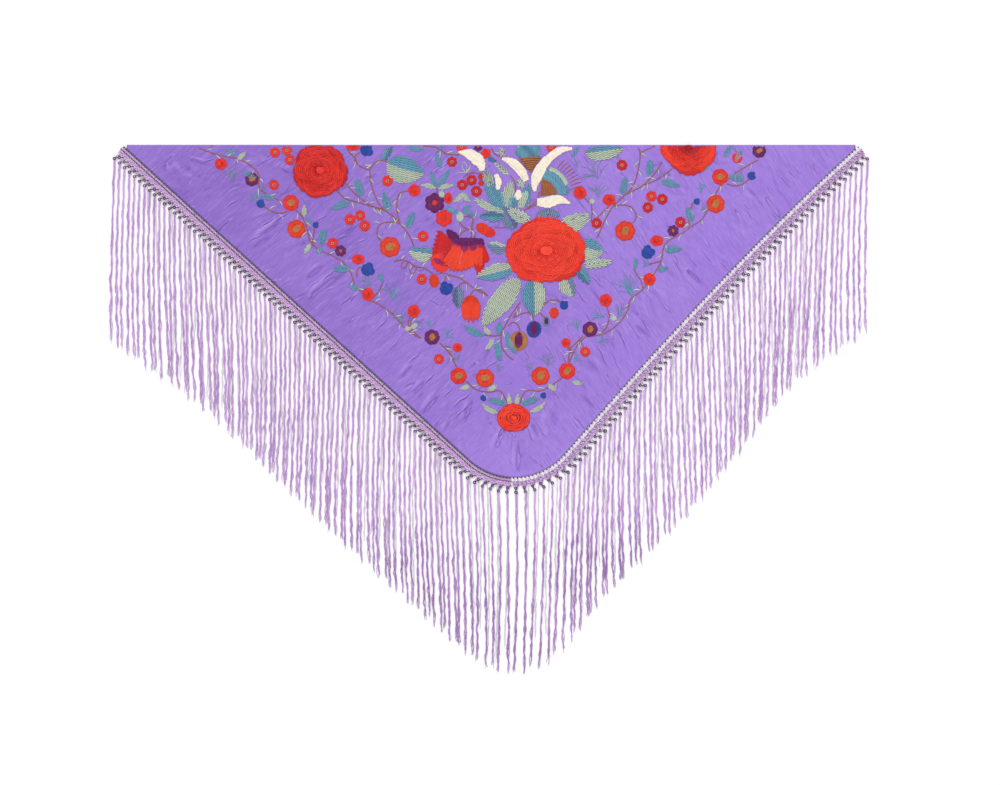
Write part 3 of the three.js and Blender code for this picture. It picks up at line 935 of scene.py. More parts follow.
def rose(book, at, size, tones, turn, seed, heart=None):
    chance = random.Random(seed)
    middle = fromPhoto(*at)
    radii = np.array(size) * chart["mmPerPx"]
    mean = radii.mean()
    pitch, base = roseForm["pitch"], stitchForm["lift"]
    dark, plain, light = (np.array(threadColours[tone]) for tone in tones)

    def outline(angles):
        # the rose's own uneven outline, 1 on average
        return 1 + 0.028 * np.sin(3 * angles + seed) + 0.026 * np.sin(5 * angles + 2 * seed)

    # the padded ground is the rose's plain tone darkened, painted shade where it shows between the rows
    for r in np.arange(2.0, mean * 0.94, roseForm["padPitch"]) / mean:
        angles = np.linspace(0, 2 * math.pi, max(6, int(2 * math.pi * r * mean / 9)))
        addRow(book, onOval(middle, radii, r * outline(angles), angles), roseForm["padHalf"],
               (plain * 0.66).tolist(), lift=base + roseForm["padLift"])
    inner, scallops, depth = roseForm["rim"]
    scallops = max(9, int(scallops * mean / 92))
    rows = int(2 * math.pi * mean / (pitch * 0.85))
    for k in range(rows):
        angle = 2 * math.pi * (k + 0.5) / rows
        place = angle * scallops / (2 * math.pi) + 0.5 * math.sin(3 * angle + seed)
        lobe = math.sin(math.pi * (place - math.floor(place))) ** 0.5
        end = float(outline(np.array([angle]))[0]) * (1 - depth * 2 * (1 - lobe))
        r = np.linspace(inner, end, 5)
        sway = angle + (0.5 / mean) * np.sin(np.arange(5) * 1.7) + 0.10 * (end - r)
        shaded = math.sin(2 * angle + seed) > 0.35
        tone = (dark * 0.45 + plain * 0.55) if shaded else plain * 0.85 + light * 0.15
        addRow(book, onOval(middle, radii, r, sway), pitch * roseForm["rowHalf"],
               (tone * chance.uniform(0.93, 1.06)).tolist(), lift=base + roseForm["rimLift"])
    for number, (outer, deep, petals, ringTurn) in enumerate(roseForm["rings"]):
        if mean * outer < 11:
            continue
        count = petals if mean > 60 else max(3, petals - 2)
        for petal in range(count):
            place = petal + chance.uniform(-0.16, 0.16)
            facing = math.radians(turn + ringTurn) + 2 * math.pi * place / count
            wide = min(1.25, math.pi / count * chance.uniform(1.15, 1.45))
            reach = outer * chance.uniform(0.94, 1.04)
            full = reach * math.sin(wide) * 1.06
            shown = min(deep * 1.15, full * 0.9)
            # arcs round the petal's own middle, one inside the other
            own = middle + radii * (reach - full) * np.array([math.cos(facing), math.sin(facing)])
            lean = chance.uniform(-0.35, 0.35)
            warmth = chance.uniform(-0.4, 0.55)
            layers = max(2, int(shown * mean / (pitch * roseForm["rowPitch"])))
            for layer in range(layers):
                f = layer / layers
                size = full - f * shown
                opening = 1.75 - 0.55 * f
                steps = max(4, int(2 * opening * size * mean / 4.0) + 1)
                angles = facing + lean * f + np.linspace(-opening, opening, steps)
                wave = size * (1 + 0.05 * np.cos(2 * (angles - facing))) + roseForm["ripple"] / mean * np.sin(
                    angles * mean * size / 1.5 + seed + layer)
                mix = np.clip(warmth + 0.7 - 1.25 * f - (0.5 * number if heart else 0), -1, 1)
                tone = plain + (light - plain) * mix if mix > 0 else plain + (dark - plain) * -mix
                ends = np.abs(np.linspace(-1, 1, steps)) ** 3
                colours = tone * chance.uniform(0.95, 1.04) * (1 - 0.3 * ends[:, None])
                height = number + 0.8 * (1 - f) + 2.2 + 0.3 * (petal % 2)
                addRow(book, onOval(own, radii, wave, angles), pitch * roseForm["rowHalf"], colours.tolist(),
                       base + roseForm["ringLift"] * height, 0.2)
    tone = light if heart is None else np.array(threadColours[heart])
    wide, long = roseForm["heart"]
    for offset in np.arange(-wide, wide + 0.001, pitch * 0.85 / mean):
        reach = long * math.sqrt(max(0.05, 1 - (offset / 0.14) ** 2))
        t = np.linspace(-reach, reach, 5)
        line = middle + radii * (np.stack([t, np.full(5, offset) + 0.006 * np.sin(t * 60)], 1) + [0.02, 0.01])
        addRow(book, line, pitch * 0.6, tone.tolist(), lift=base + roseForm["ringLift"] * 6.4)


roseBook = []
for entry in roses:
    rose(roseBook, **entry)


# ---- smaller flowers
flowerBook = []


def petalRing(book, middle, inner, outer, petals, colour, dark, turn=0.0, depth=0.16):
    # rows from the heart outwards, longer in the middle of each petal
    rows = max(12, int(2 * math.pi * outer / 2.9))
    for k in range(rows):
        angle = 2 * math.pi * k / rows
        place = (angle + turn) * petals / (2 * math.pi)
        inPetal = place - math.floor(place)
        lobe = math.sin(math.pi * inPetal) ** 0.5
        end = outer * (1 - depth + depth * lobe)
        r = inner + (end - inner) * np.linspace(0, 1, 3)
        tone = np.array(tint(colour)) * (0.78 + 0.22 * min(1.0, lobe / 0.8))
        colours = [list(np.array(dark) * (1 - f) + tone * f) for f in (0.35, 0.9, 1.0)]
        half = min(1.7, max(0.8, 2 * math.pi * outer / rows * 0.58))
        addRow(book, onOval(middle, 1.0, r, angle), half, colours, taper=0.2)


def disc(book, middle, rx, ry, colour, angle, pitch=2.6, lift=0.7, shade=None, ripple=0.0):
    # a filled oval of parallel rows
    reach = heading(angle) * rx
    spine = [middle - reach, middle, middle + reach]
    for side in (1, -1):
        hatch(book, spine, ry, side, colour, 0.0, pitch, ovalWidth, lift, 0.3, shade, ripple)


def fanRows(book, topLine, endLine, teeth, toothDepth, colour, dark, pitch, lift, bow=0.0):
    # rows from one line to another, their ends cut in teeth
    top = curveThrough(topLine, 1.0)
    end = curveThrough(endLine, 1.0)
    rows = max(3, int(np.linalg.norm(np.diff(end, axis=0), axis=1).sum() / pitch))
    for k in range(rows + 1):
        f = k / rows
        a = top[int(f * (len(top) - 1))]
        b = end[int(f * (len(end) - 1))]
        tooth = abs((f * teeth) % 1.0 - 0.5) * 2
        b = a + (b - a) * (1 - toothDepth * tooth)
        count = max(3, int(np.linalg.norm(b - a) / 9) + 1)
        t = np.linspace(0, 1, count)
        line = a + (b - a) * t[:, None] + leftOf(b - a) * (bow * np.sin(np.pi * t))[:, None]
        tone = np.array(tint(colour))
        colours = [list(np.array(dark) * (1 - g) + tone * g) for g in np.clip(0.3 + 1.4 * t, 0, 1)]
        addRow(book, line, pitch * 0.78, colours, lift=lift, taper=0.12)


# flowers with a large ochre centre: px, py, radius, petal tone, centre size, turn
ochreFlowers = [
    (291, 203, 8.2, "rose", 4.2, 10), (296.5, 229, 9.2, "orange", 4.6, 40),
    (390, 247, 10.4, "orange", 5.2, 20), (625, 231, 10.2, "orange", 4.8, 75),
    (720, 177, 8.2, "rose", 4.2, 5), (715.5, 204, 9.2, "orange", 4.8, 60),
    (458.5, 376, 8.4, "rose", 4.4, 30), (485, 378, 9.4, "orange", 4.8, 10),
    (540.5, 376, 9.4, "orange", 5.0, 80), (567, 371, 8.4, "rose", 4.6, 55),
    (252, 179.5, 7.0, "purple", 3.4, 15), (759, 151, 7.0, "purple", 3.4, 30),
    (432, 337.2, 7.8, "purple", 3.8, 85), (590, 329.4, 7.8, "purple", 3.8, 80),
]
# small ring flowers: px, py, radius
ringFlowers = [
    (275, 152.5, 5.2), (287, 150.5, 5.2), (290, 160, 5.2), (274, 185, 5.2), (387.4, 181.1, 5.5),
    (350, 219.6, 5.6), (360.3, 215.5, 5.4), (364.8, 226, 5.6), (423, 236.4, 5.6), (332.7, 243.4, 5.5),
    (452, 162, 5.2), (462.2, 185, 5.4), (471.7, 180.3, 5.4), (476.4, 191.4, 5.6), (421.8, 279.3, 5.4),
    (461.5, 147, 5.6), (621.9, 165.3, 5.5), (651.2, 196.4, 5.5), (662.1, 199.3, 5.5), (647.6, 207.6, 5.4),
    (596.5, 223.2, 5.4), (680.3, 222.3, 5.5), (737, 158, 5.2), (439, 359, 5.2), (585.2, 351.8, 5.2),
    (551.2, 147.4, 5.2),
]
# rosebuds and plain buds: px, py, half width, half height, tone, dark tone, direction
buds = [
    (221, 164, 6.0, 5.6, "rose", "wineRed", 100), (414.4, 190.5, 6.2, 5.8, "rose", "wineRed", 15),
    (448.3, 198.2, 3.9, 5.4, "rose", "wineRed", 90), (580, 193, 6.2, 6.0, "rose", "wineRed", 120),
    (609, 200, 6.3, 5.6, "rose", "wineRed", 150), (368, 294.5, 5.8, 6.4, "rose", "wineRed", 100),
    (649.3, 279.3, 6.0, 6.2, "rose", "wineRed", 60), (413.8, 311.2, 6.0, 6.2, "rose", "wineRed", 95),
    (605.7, 300.3, 6.0, 6.2, "rose", "wineRed", 80), (457.4, 347.6, 4.6, 4.2, "rose", "wine", 160),
    (565.9, 342.8, 4.6, 4.4, "rose", "wine", 30), (358.2, 259.3, 6.3, 4.9, "rose", "wine", 175),
    (656.7, 240.8, 6.3, 5.2, "rose", "wine", 15), (434, 281, 5.0, 6.6, "orange", "rose", 100),
    (554, 313, 4.6, 5.6, "orange", "rose", 85), (353, 146, 7.0, 4.5, "rose", "wine", 0),
    (480.6, 177, 2.6, 3.0, "rose", "wine", 90), (481, 183.2, 2.8, 2.8, "rose", "wine", 40),
    (366, 150, 6.4, 5.8, "blue", "blue", 10), (367.3, 269.8, 6.2, 6.2, "blue", "blue", 20),
    (446, 289, 6.2, 6.2, "blue", "blue", 70), (260.5, 204, 4.0, 3.8, "blue", "blue", 20),
    (315.4, 225, 2.8, 2.8, "blue", "blue", 0), (647.4, 252.9, 6.2, 6.2, "blue", "blue", 50),
    (696.2, 201.6, 3.0, 3.0, "blue", "blue", 0), (751, 176, 4.0, 3.8, "blue", "blue", 10),
    (564, 305.5, 4.2, 4.2, "blue", "blue", 90), (483, 398, 2.8, 2.8, "blue", "blue", 0),
    (543, 395.5, 2.8, 2.8, "blue", "blue", 0),
]

for px, py, radius, tone, core, turn in ochreFlowers:
    middle = fromPhoto(px, py)
    r = radius * chart["mmPerPx"]
    dark = threadColours["wineRed" if tone != "purple" else "purpleDark"]
    petalRing(flowerBook, middle, core * 1.6, r, 7, threadColours[tone], dark, turn=math.radians(turn),
              depth=0.13)
    disc(flowerBook, middle + [0.8, 0.4], core * 2.5, core * 1.9, threadColours["ochre"], turn,
         shade=lambda s, d: 0.82 + 0.3 * np.abs(np.sin(5 * s + 2 * d)))

for px, py, radius in ringFlowers:
    middle = fromPhoto(px, py)
    r = radius * chart["mmPerPx"]
    tone = stitchChance.choice(("rose", "rose", "orange", "wine"))
    petalRing(flowerBook, middle, 3.4, r, 7, threadColours[tone], threadColours["wineRed"],
              turn=stitchChance.uniform(0, 6), depth=0.2)
    angles = np.linspace(0, 2 * math.pi, 9)
    addRow(flowerBook, onOval(middle, 3.3, 1.0, angles), 0.9, linear(206, 160, 140), lift=0.8)
    addRow(flowerBook, middle + np.array([[-1.4, 0], [1.4, 0.4]]), 1.3, threadColours["brown"], lift=0.8)


budArcs = (  # share of the bud's size, where the arc starts, how long it is
    (0.78, 0.2, 2.3), (0.74, 2.9, 2.2), (0.55, 1.2, 2.8), (0.5, 4.3, 2.2), (0.3, 2.4, 3.6), (0.1, 0.0, 4.0),
)


def smallRose(book, middle, rx, ry, tone, dark, turn):
    # a bud of a few petals: a lobed rim and rippling arcs inside it
    plain, deep = np.array(threadColours[tone]), np.array(threadColours[dark])
    size = np.array([rx, ry])
    rows = int(2 * math.pi * (rx + ry) / 2 / 2.5)
    for k in range(rows):
        angle = 2 * math.pi * k / rows
        lobe = abs(math.sin(2.5 * angle + turn)) ** 0.6
        r = np.linspace(0.1, 0.86 + 0.2 * lobe, 3)
        addRow(book, onOval(middle, size, r, angle), 1.75, (plain * (0.72 + 0.28 * lobe)).tolist(), lift=0.35)
    for number, (r, start, long) in enumerate(budArcs):
        angles = turn + start + np.linspace(0, long, 7)
        arcTone = plain if number % 2 else plain * 0.55 + deep * 0.45
        addRow(book, onOval(middle, size, r, angles), 1.35, arcTone.tolist(), 0.75 + 0.12 * number, 0.3)


for px, py, halfWide, halfHigh, tone, dark, turn in buds:
    middle = fromPhoto(px, py)
    wide, high = halfWide * chart["mmPerPx"], halfHigh * chart["mmPerPx"]
    if tone == "rose" and min(wide, high) > 9:
        smallRose(flowerBook, middle, wide, high, tone, dark, math.radians(turn))
        continue
    deep = threadColours[dark][0] / threadColours[tone][0]
    disc(flowerBook, middle, high, wide, threadColours[tone], turn, pitch=2.5, lift=0.4, ripple=0.2,
         shade=lambda s, d, deep=deep: 1 - (1 - deep) * smooth(
             np.abs(np.sin(4.2 * s + 2.6 * np.abs(d))), 0.55, 0.95))
    if tone == "blue":
        # two rounded lobes at its head
        way = heading(turn + 90)
        for shift in (-0.45, 0.45):
            lobeAt = middle + way * wide * shift + leftOf(way) * -0.5 * high
            disc(flowerBook, lobeAt, high * 0.62, wide * 0.56, threadColours["blue"], turn, 2.4, 0.6)

# open flowers with a small heart: px, py, radius, petals, tone, dark tone, tone of the heart
openFlowers = [
    (434.7, 203, 10.2, 6, "purple", "purpleDark", "orange"),
    (340.7, 251, 5.8, 7, "purple", "purpleDark", "ochre"),
    (673, 230.9, 5.8, 7, "purple", "purpleDark", "ochre"),
    (444, 218.3, 8.6, 6, "rose", "wineRed", "orange"),
    (478, 147, 4.6, 6, "purple", "purpleDark", "ochre"),
    (486, 153.4, 5.0, 5, "rose", "wineRed", "orange"),
]
for px, py, radius, petals, tone, dark, core in openFlowers:
    middle = fromPhoto(px, py)
    r = radius * chart["mmPerPx"]
    petalRing(flowerBook, middle, r * 0.1, r, petals, threadColours[tone], threadColours[dark], depth=0.26)
    disc(flowerBook, middle, r * 0.26, r * 0.26, threadColours[core], 20, pitch=2.2, lift=0.9)

# the orange tulip and the lobed bud above the carnation
disc(flowerBook, fromPhoto(470.8, 307.0), 29, 23, threadColours["orange"], 90, pitch=2.8, lift=0.45)
fanRows(flowerBook, pixelLine((462, 305), (471, 301), (480, 305)),
        pixelLine((463, 319), (471, 323), (479, 319)), 4, 0.2,
        threadColours["orange"], threadColours["orange"], 2.8, 0.6)
disc(flowerBook, fromPhoto(482.5, 228.5), 17, 13, threadColours["orange"], 150, pitch=2.6, lift=0.45)
disc(flowerBook, fromPhoto(488.5, 232), 18, 12, threadColours["rose"], 160, pitch=2.6, lift=0.7)

# pods: px, py, half height, half width, tone, and the same of the core
pods = [
    (533.9, 329.4, 21, 18, "blue", "purple", 9, 18), (518.6, 340.9, 25, 23, "ochre", "purple", 10, 20),
    (546.4, 321.7, 12, 8, "teal", "purple", 6, 9),
]
for px, py, high, wide, tone, coreTone, coreWide, coreHigh in pods:
    middle = fromPhoto(px, py)
    disc(flowerBook, middle, high, wide, threadColours[tone], 80, pitch=2.6, lift=0.45)
    disc(flowerBook, middle + [0, 1.5], coreHigh, coreWide, threadColours[coreTone], 86, pitch=2.4, lift=0.95)

# calyxes
for px, py, high, wide, turn in ((460, 216.8, 13, 9, 90), (592, 201.5, 7, 6, 90), (407.5, 329, 7, 6, 90),
                                 (613.5, 318, 7, 8, 60), (441.7, 195, 9, 7, 90)):
    disc(flowerBook, fromPhoto(px, py), high, wide, threadColours["pale"], turn, pitch=2.2, lift=0.4)


# ---- the carnation: fringed red petals under a purple calyx
carnation = [  # the petals' tops and ends in pixels, teeth and their depth, tone, dark tone, pitch, lift, bow
    (((453, 240), (450, 250), (446, 258)), ((437.5, 229), (433, 243), (430, 256), (432, 264)),
     8, 0.2, "wine", "wineRed", 2.7, 0.4, 0.06),
    (((444, 252), (444, 262), (446, 266)), ((430, 258), (432, 268), (440, 273), (448, 270)),
     6, 0.2, "rose", "wineRed", 2.7, 0.6, 0.0),
    (((454, 243), (462, 246), (470, 246)), ((443, 262), (450, 271), (461, 272)),
     7, 0.12, "orange", "rose", 2.8, 0.9, 0.05),
    (((468, 246), (476, 245), (482, 244)), ((460, 272), (468, 270), (476, 266), (482, 268)),
     6, 0.12, "orange", "rose", 2.8, 0.75, 0.0),
    (((479, 245), (484, 246)), ((474, 267), (480, 279), (484, 266), (490, 261)),
     6, 0.14, "wine", "wineRed", 2.7, 0.55, 0.0),
]
for top, end, teeth, depth, tone, dark, pitch, lift, bow in carnation:
    fanRows(flowerBook, pixelLine(*top), pixelLine(*end), teeth, depth, threadColours[tone],
            threadColours[dark], pitch, lift, bow)
for x, y, wide, high, lift in ((456.5, 244.0, 10, 15, 1.2), (464.6, 245.4, 11, 18, 1.4),
                               (473, 245.0, 11, 16, 1.3), (480.5, 243.2, 9, 13, 1.2)):
    disc(flowerBook, fromPhoto(x, y), high, wide, threadColours["purple"], 90, 2.4, lift, ripple=0.3,
         shade=lambda s, d: 0.85 + 0.3 * s)
disc(flowerBook, fromPhoto(468.5, 239.8), 31, 5.5, threadColours["purple"], 0, 2.3, 1.7, ripple=0.3)
leaf(flowerBook, (459, 242), (446.5, 229.5), 4.6, 4.2, "purple", "purple", 0, 0, 2.7, 1.1)
leaf(flowerBook, (433.5, 258), (444, 266), 1.0, 4.8, "purple", "purple", 0, 2.0, 2.5, 1.1)
addRow(flowerBook, curveThrough(pixelLine((463, 250), (460.5, 258), (459.6, 268))), 0.9,
       linear(214, 120, 160), lift=1.5)


# ---- cream petals, the two dark heads beside them and the rays
creamBook = []
creamPetals = [  # spine in pixels, half widths along it, lift
    {"spine": [(458.2, 152), (470, 154.5), (480, 162.5), (482.2, 171)], "half": [0.6, 5.2, 6.0, 2.4],
     "lift": 0.6},
    {"spine": [(502.2, 158.5), (512.4, 162.6), (521, 171), (526.5, 181)], "half": [1.4, 4.4, 4.8, 3.0],
     "lift": 0.6},
    {"spine": [(572, 148.8), (560, 150.5), (547, 160.5), (538.5, 173), (534.5, 185), (535.2, 191.5)],
     "half": [1.2, 3.6, 4.0, 5.0, 5.0, 1.4], "lift": 1.0},
    {"spine": [(536.9, 202), (547.5, 202.4), (558.6, 199.6), (570.4, 203.6)], "half": [3.6, 5.8, 4.4, 0.7],
     "lift": 0.7},
    {"spine": [(495.7, 174.2), (498.6, 182), (497.4, 190.2)], "half": [1.8, 3.2, 1.6], "lift": 0.7},
    {"spine": [(518.8, 189.8), (518.4, 195), (517.6, 200.5)], "half": [1.4, 4.0, 0.8], "lift": 0.8},
]
for petal in creamPetals:
    spine = pixelLine(*petal["spine"])
    halves = np.array(petal["half"]) * chart["mmPerPx"]
    knots = np.linspace(0, 1, len(halves))
    widest = halves.max()
    for side in (1, -1):
        hatch(creamBook, spine, widest, side, threadColours["cream"], 0.0, 1.9,
              lambda t: np.interp(t, knots, halves / widest), petal["lift"], 0.3, ripple=0.0, overlap=0.85)
vein = curveThrough(pixelLine((503, 160), (512.5, 165.5), (520, 173.5), (524, 180)), 8)
addRow(creamBook, vein, 0.6, linear(212, 196, 174), lift=1.1)


def sector(book, centre, inner, outer, fromTurn, toTurn, colour, lift=0.6, wave=0.0):
    # concentric rows between two angles, in pixels round a centre
    mm, pitch = chart["mmPerPx"], 2.7
    middle = fromPhoto(*centre)
    for r in np.arange(inner * mm + pitch / 2, outer * mm, pitch):
        long = math.radians(toTurn - fromTurn) * r
        count = max(3, int(long / 3.2) + 1)
        first, last = fromTurn + stitchChance.uniform(-2, 2), toTurn + stitchChance.uniform(-2, 2)
        angles = np.radians(np.linspace(first, last, count))
        reach = r + wave * np.sin(angles * r / 1.5 + r)
        addRow(book, onOval(middle, 1.0, reach, angles), pitch * 0.66, tint(colour, 0.12), lift=lift)


headTone = threadColours["brown"]
disc(creamBook, fromPhoto(528, 151), 32, 25, threadColours["teal"], 0, pitch=2.7, lift=0.5, ripple=0.4,
     shade=lambda s, d: 0.9 + 0.2 * np.sin(9 * s + 3 * d))
fanRows(creamBook, pixelLine((517.5, 160.5), (529, 156.5), (540.5, 157)),
        pixelLine((529, 171), (530.5, 172.5), (532, 171)), 1, 0.0, headTone, [c * 0.8 for c in headTone],
        0.7, 0.6)
for k in range(7):
    y = 158.5 + 2.1 * k
    spread = 10.6 * (1 - k / 6.6)
    line = curveThrough(pixelLine((530.4 - spread, y + 0.6), (530.4, y - 0.8), (530.4 + spread, y - 0.6)), 7)
    addRow(creamBook, line, 2.9, tint(headTone, 0.12), lift=0.75)
fanAt = (540.6, 195.5)
sector(creamBook, fanAt, 0.5, 16.5, 4, 88, headTone, lift=0.6, wave=0.7)
sector(creamBook, fanAt, 16, 26.5, 2, 84, threadColours["teal"], lift=0.6, wave=0.7)
sector(creamBook, fanAt, 26, 30, 22, 72, threadColours["sage"], lift=0.6, wave=0.4)
sector(creamBook, (528, 151), 9.3, 12.2, 60, 160, threadColours["sage"], lift=0.8)


# ---- stems, tendrils, sprays and leaflets
stemBook = []
stems = [  # lines in pixels
    [(199, 148), (218, 155), (238, 159), (251, 166), (259, 175), (259, 187), (268, 195), (283, 202),
     (296, 210), (305, 222), (310, 240), (319, 250), (333, 256), (345, 264), (351, 273), (355, 285),
     (366, 297)], [(368, 299), (378, 304), (390, 312), (399, 321), (407, 330), (420, 338)],
    [(440, 343), (450, 354), (457, 368)], [(466, 381), (477, 390), (490, 392), (500, 391), (508, 404)],
    [(758, 160), (747, 166), (733, 175), (719, 188), (710, 205), (702, 219), (692, 226), (681, 234),
     (668, 241), (663, 249), (661, 262), (655, 272), (645, 287), (637, 294), (630, 300), (627, 312),
     (617, 325), (603, 334), (592, 336)], [(586, 336), (577, 346), (571, 358), (568, 364)],
    [(562, 378), (550, 386), (540, 391), (526, 391), (519.5, 404)],
    [(345, 182), (353, 192), (364, 201), (375, 208), (384, 210)],
    [(338, 192), (346, 199), (360, 203), (374, 207), (385, 210.5), (398, 221), (402, 226), (410, 237),
     (415, 249)],
    [(388, 161.5), (379, 160.5), (372, 166), (370, 176), (373, 190), (379, 204), (385, 210)],
    [(408, 191), (400, 193), (397, 201), (397, 212), (400, 223)],
    [(400, 224), (391, 222), (381, 224), (377, 231), (379, 239), (383, 242)],
    [(347, 146), (349, 152), (355, 158), (358, 165), (370, 171)], [(360, 153), (355, 156), (355, 162)],
    [(423, 146), (436, 147.5), (447, 154), (459, 155)], [(437, 188), (437, 196)],
    [(394, 262), (401, 260), (409, 262), (416, 267), (424, 268), (433, 274)],
    [(416, 267), (415, 272), (411, 274), (410, 270), (414, 266)],
    [(408, 262), (405, 268), (401, 267), (403, 262)],
    [(433, 275), (443, 273), (452, 276), (460, 278), (468, 284), (478, 291), (488, 296)],
    [(446, 283), (445, 277), (450, 275)], [(470, 296), (473, 291), (480, 290), (487, 295)],
    [(458.5, 287), (462, 283), (468, 283)], [(456, 242), (459, 236), (466, 230), (474, 229)],
    [(495, 227), (501, 228), (507, 227)], [(471, 238), (472, 226), (473, 219), (469, 216), (464, 217)],
    [(459, 221), (463, 227), (470, 229)], [(474, 238), (476, 232)],
    [(637.2, 145.7), (640, 153), (638.5, 168), (634, 184), (627.7, 192.6), (614.3, 205), (606, 218),
     (597, 238)], [(662, 162), (655, 173), (642, 186), (627.7, 193)],
    [(672, 169), (660, 178), (643, 186), (627, 194)],
    [(614.3, 206), (624, 205), (632, 208), (636.3, 216), (633, 223)],
    [(609, 206), (601, 214), (593, 222)], [(591, 203), (592, 212), (591, 222)], [(583, 197), (589, 202)],
    [(640, 153), (648, 149), (655, 146)],
    [(520.5, 302), (511, 315), (505, 326), (501, 335), (502, 347), (507, 355), (513, 360)],
    [(519, 307), (513, 318)], [(508, 326), (514, 322), (519, 327), (520, 332)],
    [(513, 318), (524, 313), (531, 314), (534, 321)], [(538, 311), (543, 316), (546, 319)],
    [(537, 313), (546, 303), (554, 300), (561, 302)], [(501, 335), (494, 336), (484, 335)],
    [(491, 145.5), (492, 150), (496.6, 155.3), (504, 157.5)],
    [(510.5, 175.6), (515, 182.6), (515, 191.8)], [(523, 212), (530, 206), (536, 202), (539.2, 192)],
    [(523, 211), (529, 208), (538, 204)], [(467, 174), (474, 173), (483, 174)], [(467, 174), (463, 178)],
    [(312, 246), (314, 232), (315, 228)], [(361, 267), (357, 270), (357, 277)],
    [(649, 264), (658, 262), (661, 261)], [(382, 284), (379, 291), (372, 299)],
    [(410, 317), (408, 324), (413, 331)], [(606, 306), (609, 315), (607, 326), (601, 334)],
    [(447, 349), (451, 354)], [(567, 346), (570, 352), (573, 352)],
    [(421, 338), (416, 334), (411, 326), (412, 318)], [(583, 336), (576, 343), (570, 350), (568, 364)],
    [(634, 270), (640, 279), (643, 288)], [(451, 347.6), (445, 346)],
    [(693, 203), (689, 214), (689, 227)], [(263, 206), (272, 211.5), (281, 213.5), (288, 211)],
    [(750, 178), (743, 184), (734, 186), (727, 184)],
]
for line in stems:
    addRow(stemBook, curveThrough(pixelLine(*line), 7.0), 1.45, tint(threadColours["stem"]), lift=0.25)

# sprays of fine stitches: foot, direction in degrees, length, count, spread, tone
sprays = [
    ((233, 182), 100, 15, 9, 55, "slate"), ((236, 156), 130, 16, 11, 70, "teal"),
    ((262, 196), 190, 12, 8, 60, "teal"), ((311, 224), 120, 9, 5, 50, "teal"),
    ((599, 179), 130, 20, 9, 80, "slate"), ((598, 198), 95, 15, 9, 60, "slate"),
    ((573, 190), 190, 9, 5, 50, "slate"), ((371, 286), 130, 13, 7, 60, "slate"),
    ((392, 300), 75, 17, 9, 80, "teal"), ((633, 297), 118, 22, 13, 44, "teal"),
    ((430, 328), 95, 9, 5, 50, "teal"), ((446, 338), 60, 10, 6, 70, "teal"),
    ((403, 323), 120, 13, 8, 50, "slate"), ((413, 327), 30, 11, 6, 60, "slate"),
    ((617, 318), 60, 15, 8, 50, "slate"), ((605, 318), 160, 15, 6, 50, "teal"),
    ((578, 332), 110, 13, 6, 40, "teal"), ((597, 342), 20, 11, 6, 60, "teal"),
    ((574, 362), 60, 10, 6, 60, "teal"), ((548, 366), 90, 13, 7, 60, "slate"),
    ((458, 362), 120, 9, 6, 60, "slate"), ((577, 168), 100, 8, 4, 40, "slate"),
    ((643, 268), 60, 10, 5, 50, "slate"), ((706, 186), 200, 10, 6, 60, "teal"),
    ((742, 170), 240, 9, 5, 60, "slate"), ((730, 150), 70, 8, 5, 60, "teal"),
    ((700, 210), 20, 9, 5, 60, "slate"), ((497, 372), 60, 9, 5, 50, "slate"),
    ((532, 370), 120, 9, 5, 50, "slate"), ((265, 190), 150, 8, 5, 60, "slate"),
]
for foot, turn, long, count, spread, tone in sprays:
    base = fromPhoto(*foot)
    for k in range(count):
        start = base + 0.28 * long * chart["mmPerPx"] * (k % 3) / 3 * heading(turn)
        reach = long * chart["mmPerPx"] * stitchChance.uniform(0.7, 1.0)
        out = heading(turn + spread * ((k + 0.5) / count - 0.5) * 2)
        side = leftOf(out) * (0.12 if k < count / 2 else -0.12)
        line = np.array([start, start + (out * 0.5 + side) * reach, start + out * reach])
        addRow(stemBook, curveThrough(line, 9.0), 0.95, tint(threadColours[tone], 0.15), lift=0.2, taper=0.35)

# pale leaflets in pairs along the stems
leafletForm = {"apart": 32.0, "long": (12.0, 20.0), "half": 1.65, "turn": (28, 62), "seed": 21}
leafletChance = random.Random(leafletForm["seed"])
for line in stems:
    path = curveThrough(pixelLine(*line), 3.0)
    long = np.linalg.norm(np.diff(path, axis=0), axis=1).sum()
    if long < 45:
        continue
    side = 1
    at = leafletForm["apart"] * 0.6
    while at < long - 8:
        k = min(len(path) - 2, int(at / long * (len(path) - 1)))
        way = path[k + 1] - path[k]
        way = way / np.linalg.norm(way)
        turned = heading(side * leafletChance.uniform(*leafletForm["turn"]))
        out = way[0] * turned + way[1] * leftOf(turned)
        size = leafletChance.uniform(*leafletForm["long"])
        start = path[k] + out * 2.0
        bow = leftOf(out) * leafletChance.uniform(-0.14, 0.14) * size
        blade = curveThrough([start, start + out * size * 0.5 + bow, start + out * size], 5.0)
        t = np.linspace(0, 1, len(blade))
        radii = leafletForm["half"] * (0.25 + 0.75 * np.sin(np.pi * np.clip(t, 0.02, 0.98)))
        if blade[:, 1].max() < -stitchForm["foldGap"]:
            stemBook.append((blade, radii, np.tile(tint(threadColours["pale"], 0.1), (len(blade), 1)), 0.25))
        side = -side
        at += leafletForm["apart"] * leafletChance.uniform(0.6, 1.1)
for ray in range(10):  # the rays above the fan
    f = ray / 9
    angle = math.radians(58 - 52 * f)
    start = fromPhoto(*fanAt) + 80 * np.array([math.cos(angle), math.sin(angle)])
    out = np.array([math.cos(angle * 0.75 + 0.12), math.sin(angle * 0.75 + 0.12)])
    line = [start, start + out * 12 + [0, 1.2], start + out * 26]
    addRow(stemBook, curveThrough(line, 7.0), 1.2, tint(threadColours["brown"]), lift=0.3, taper=0.3)
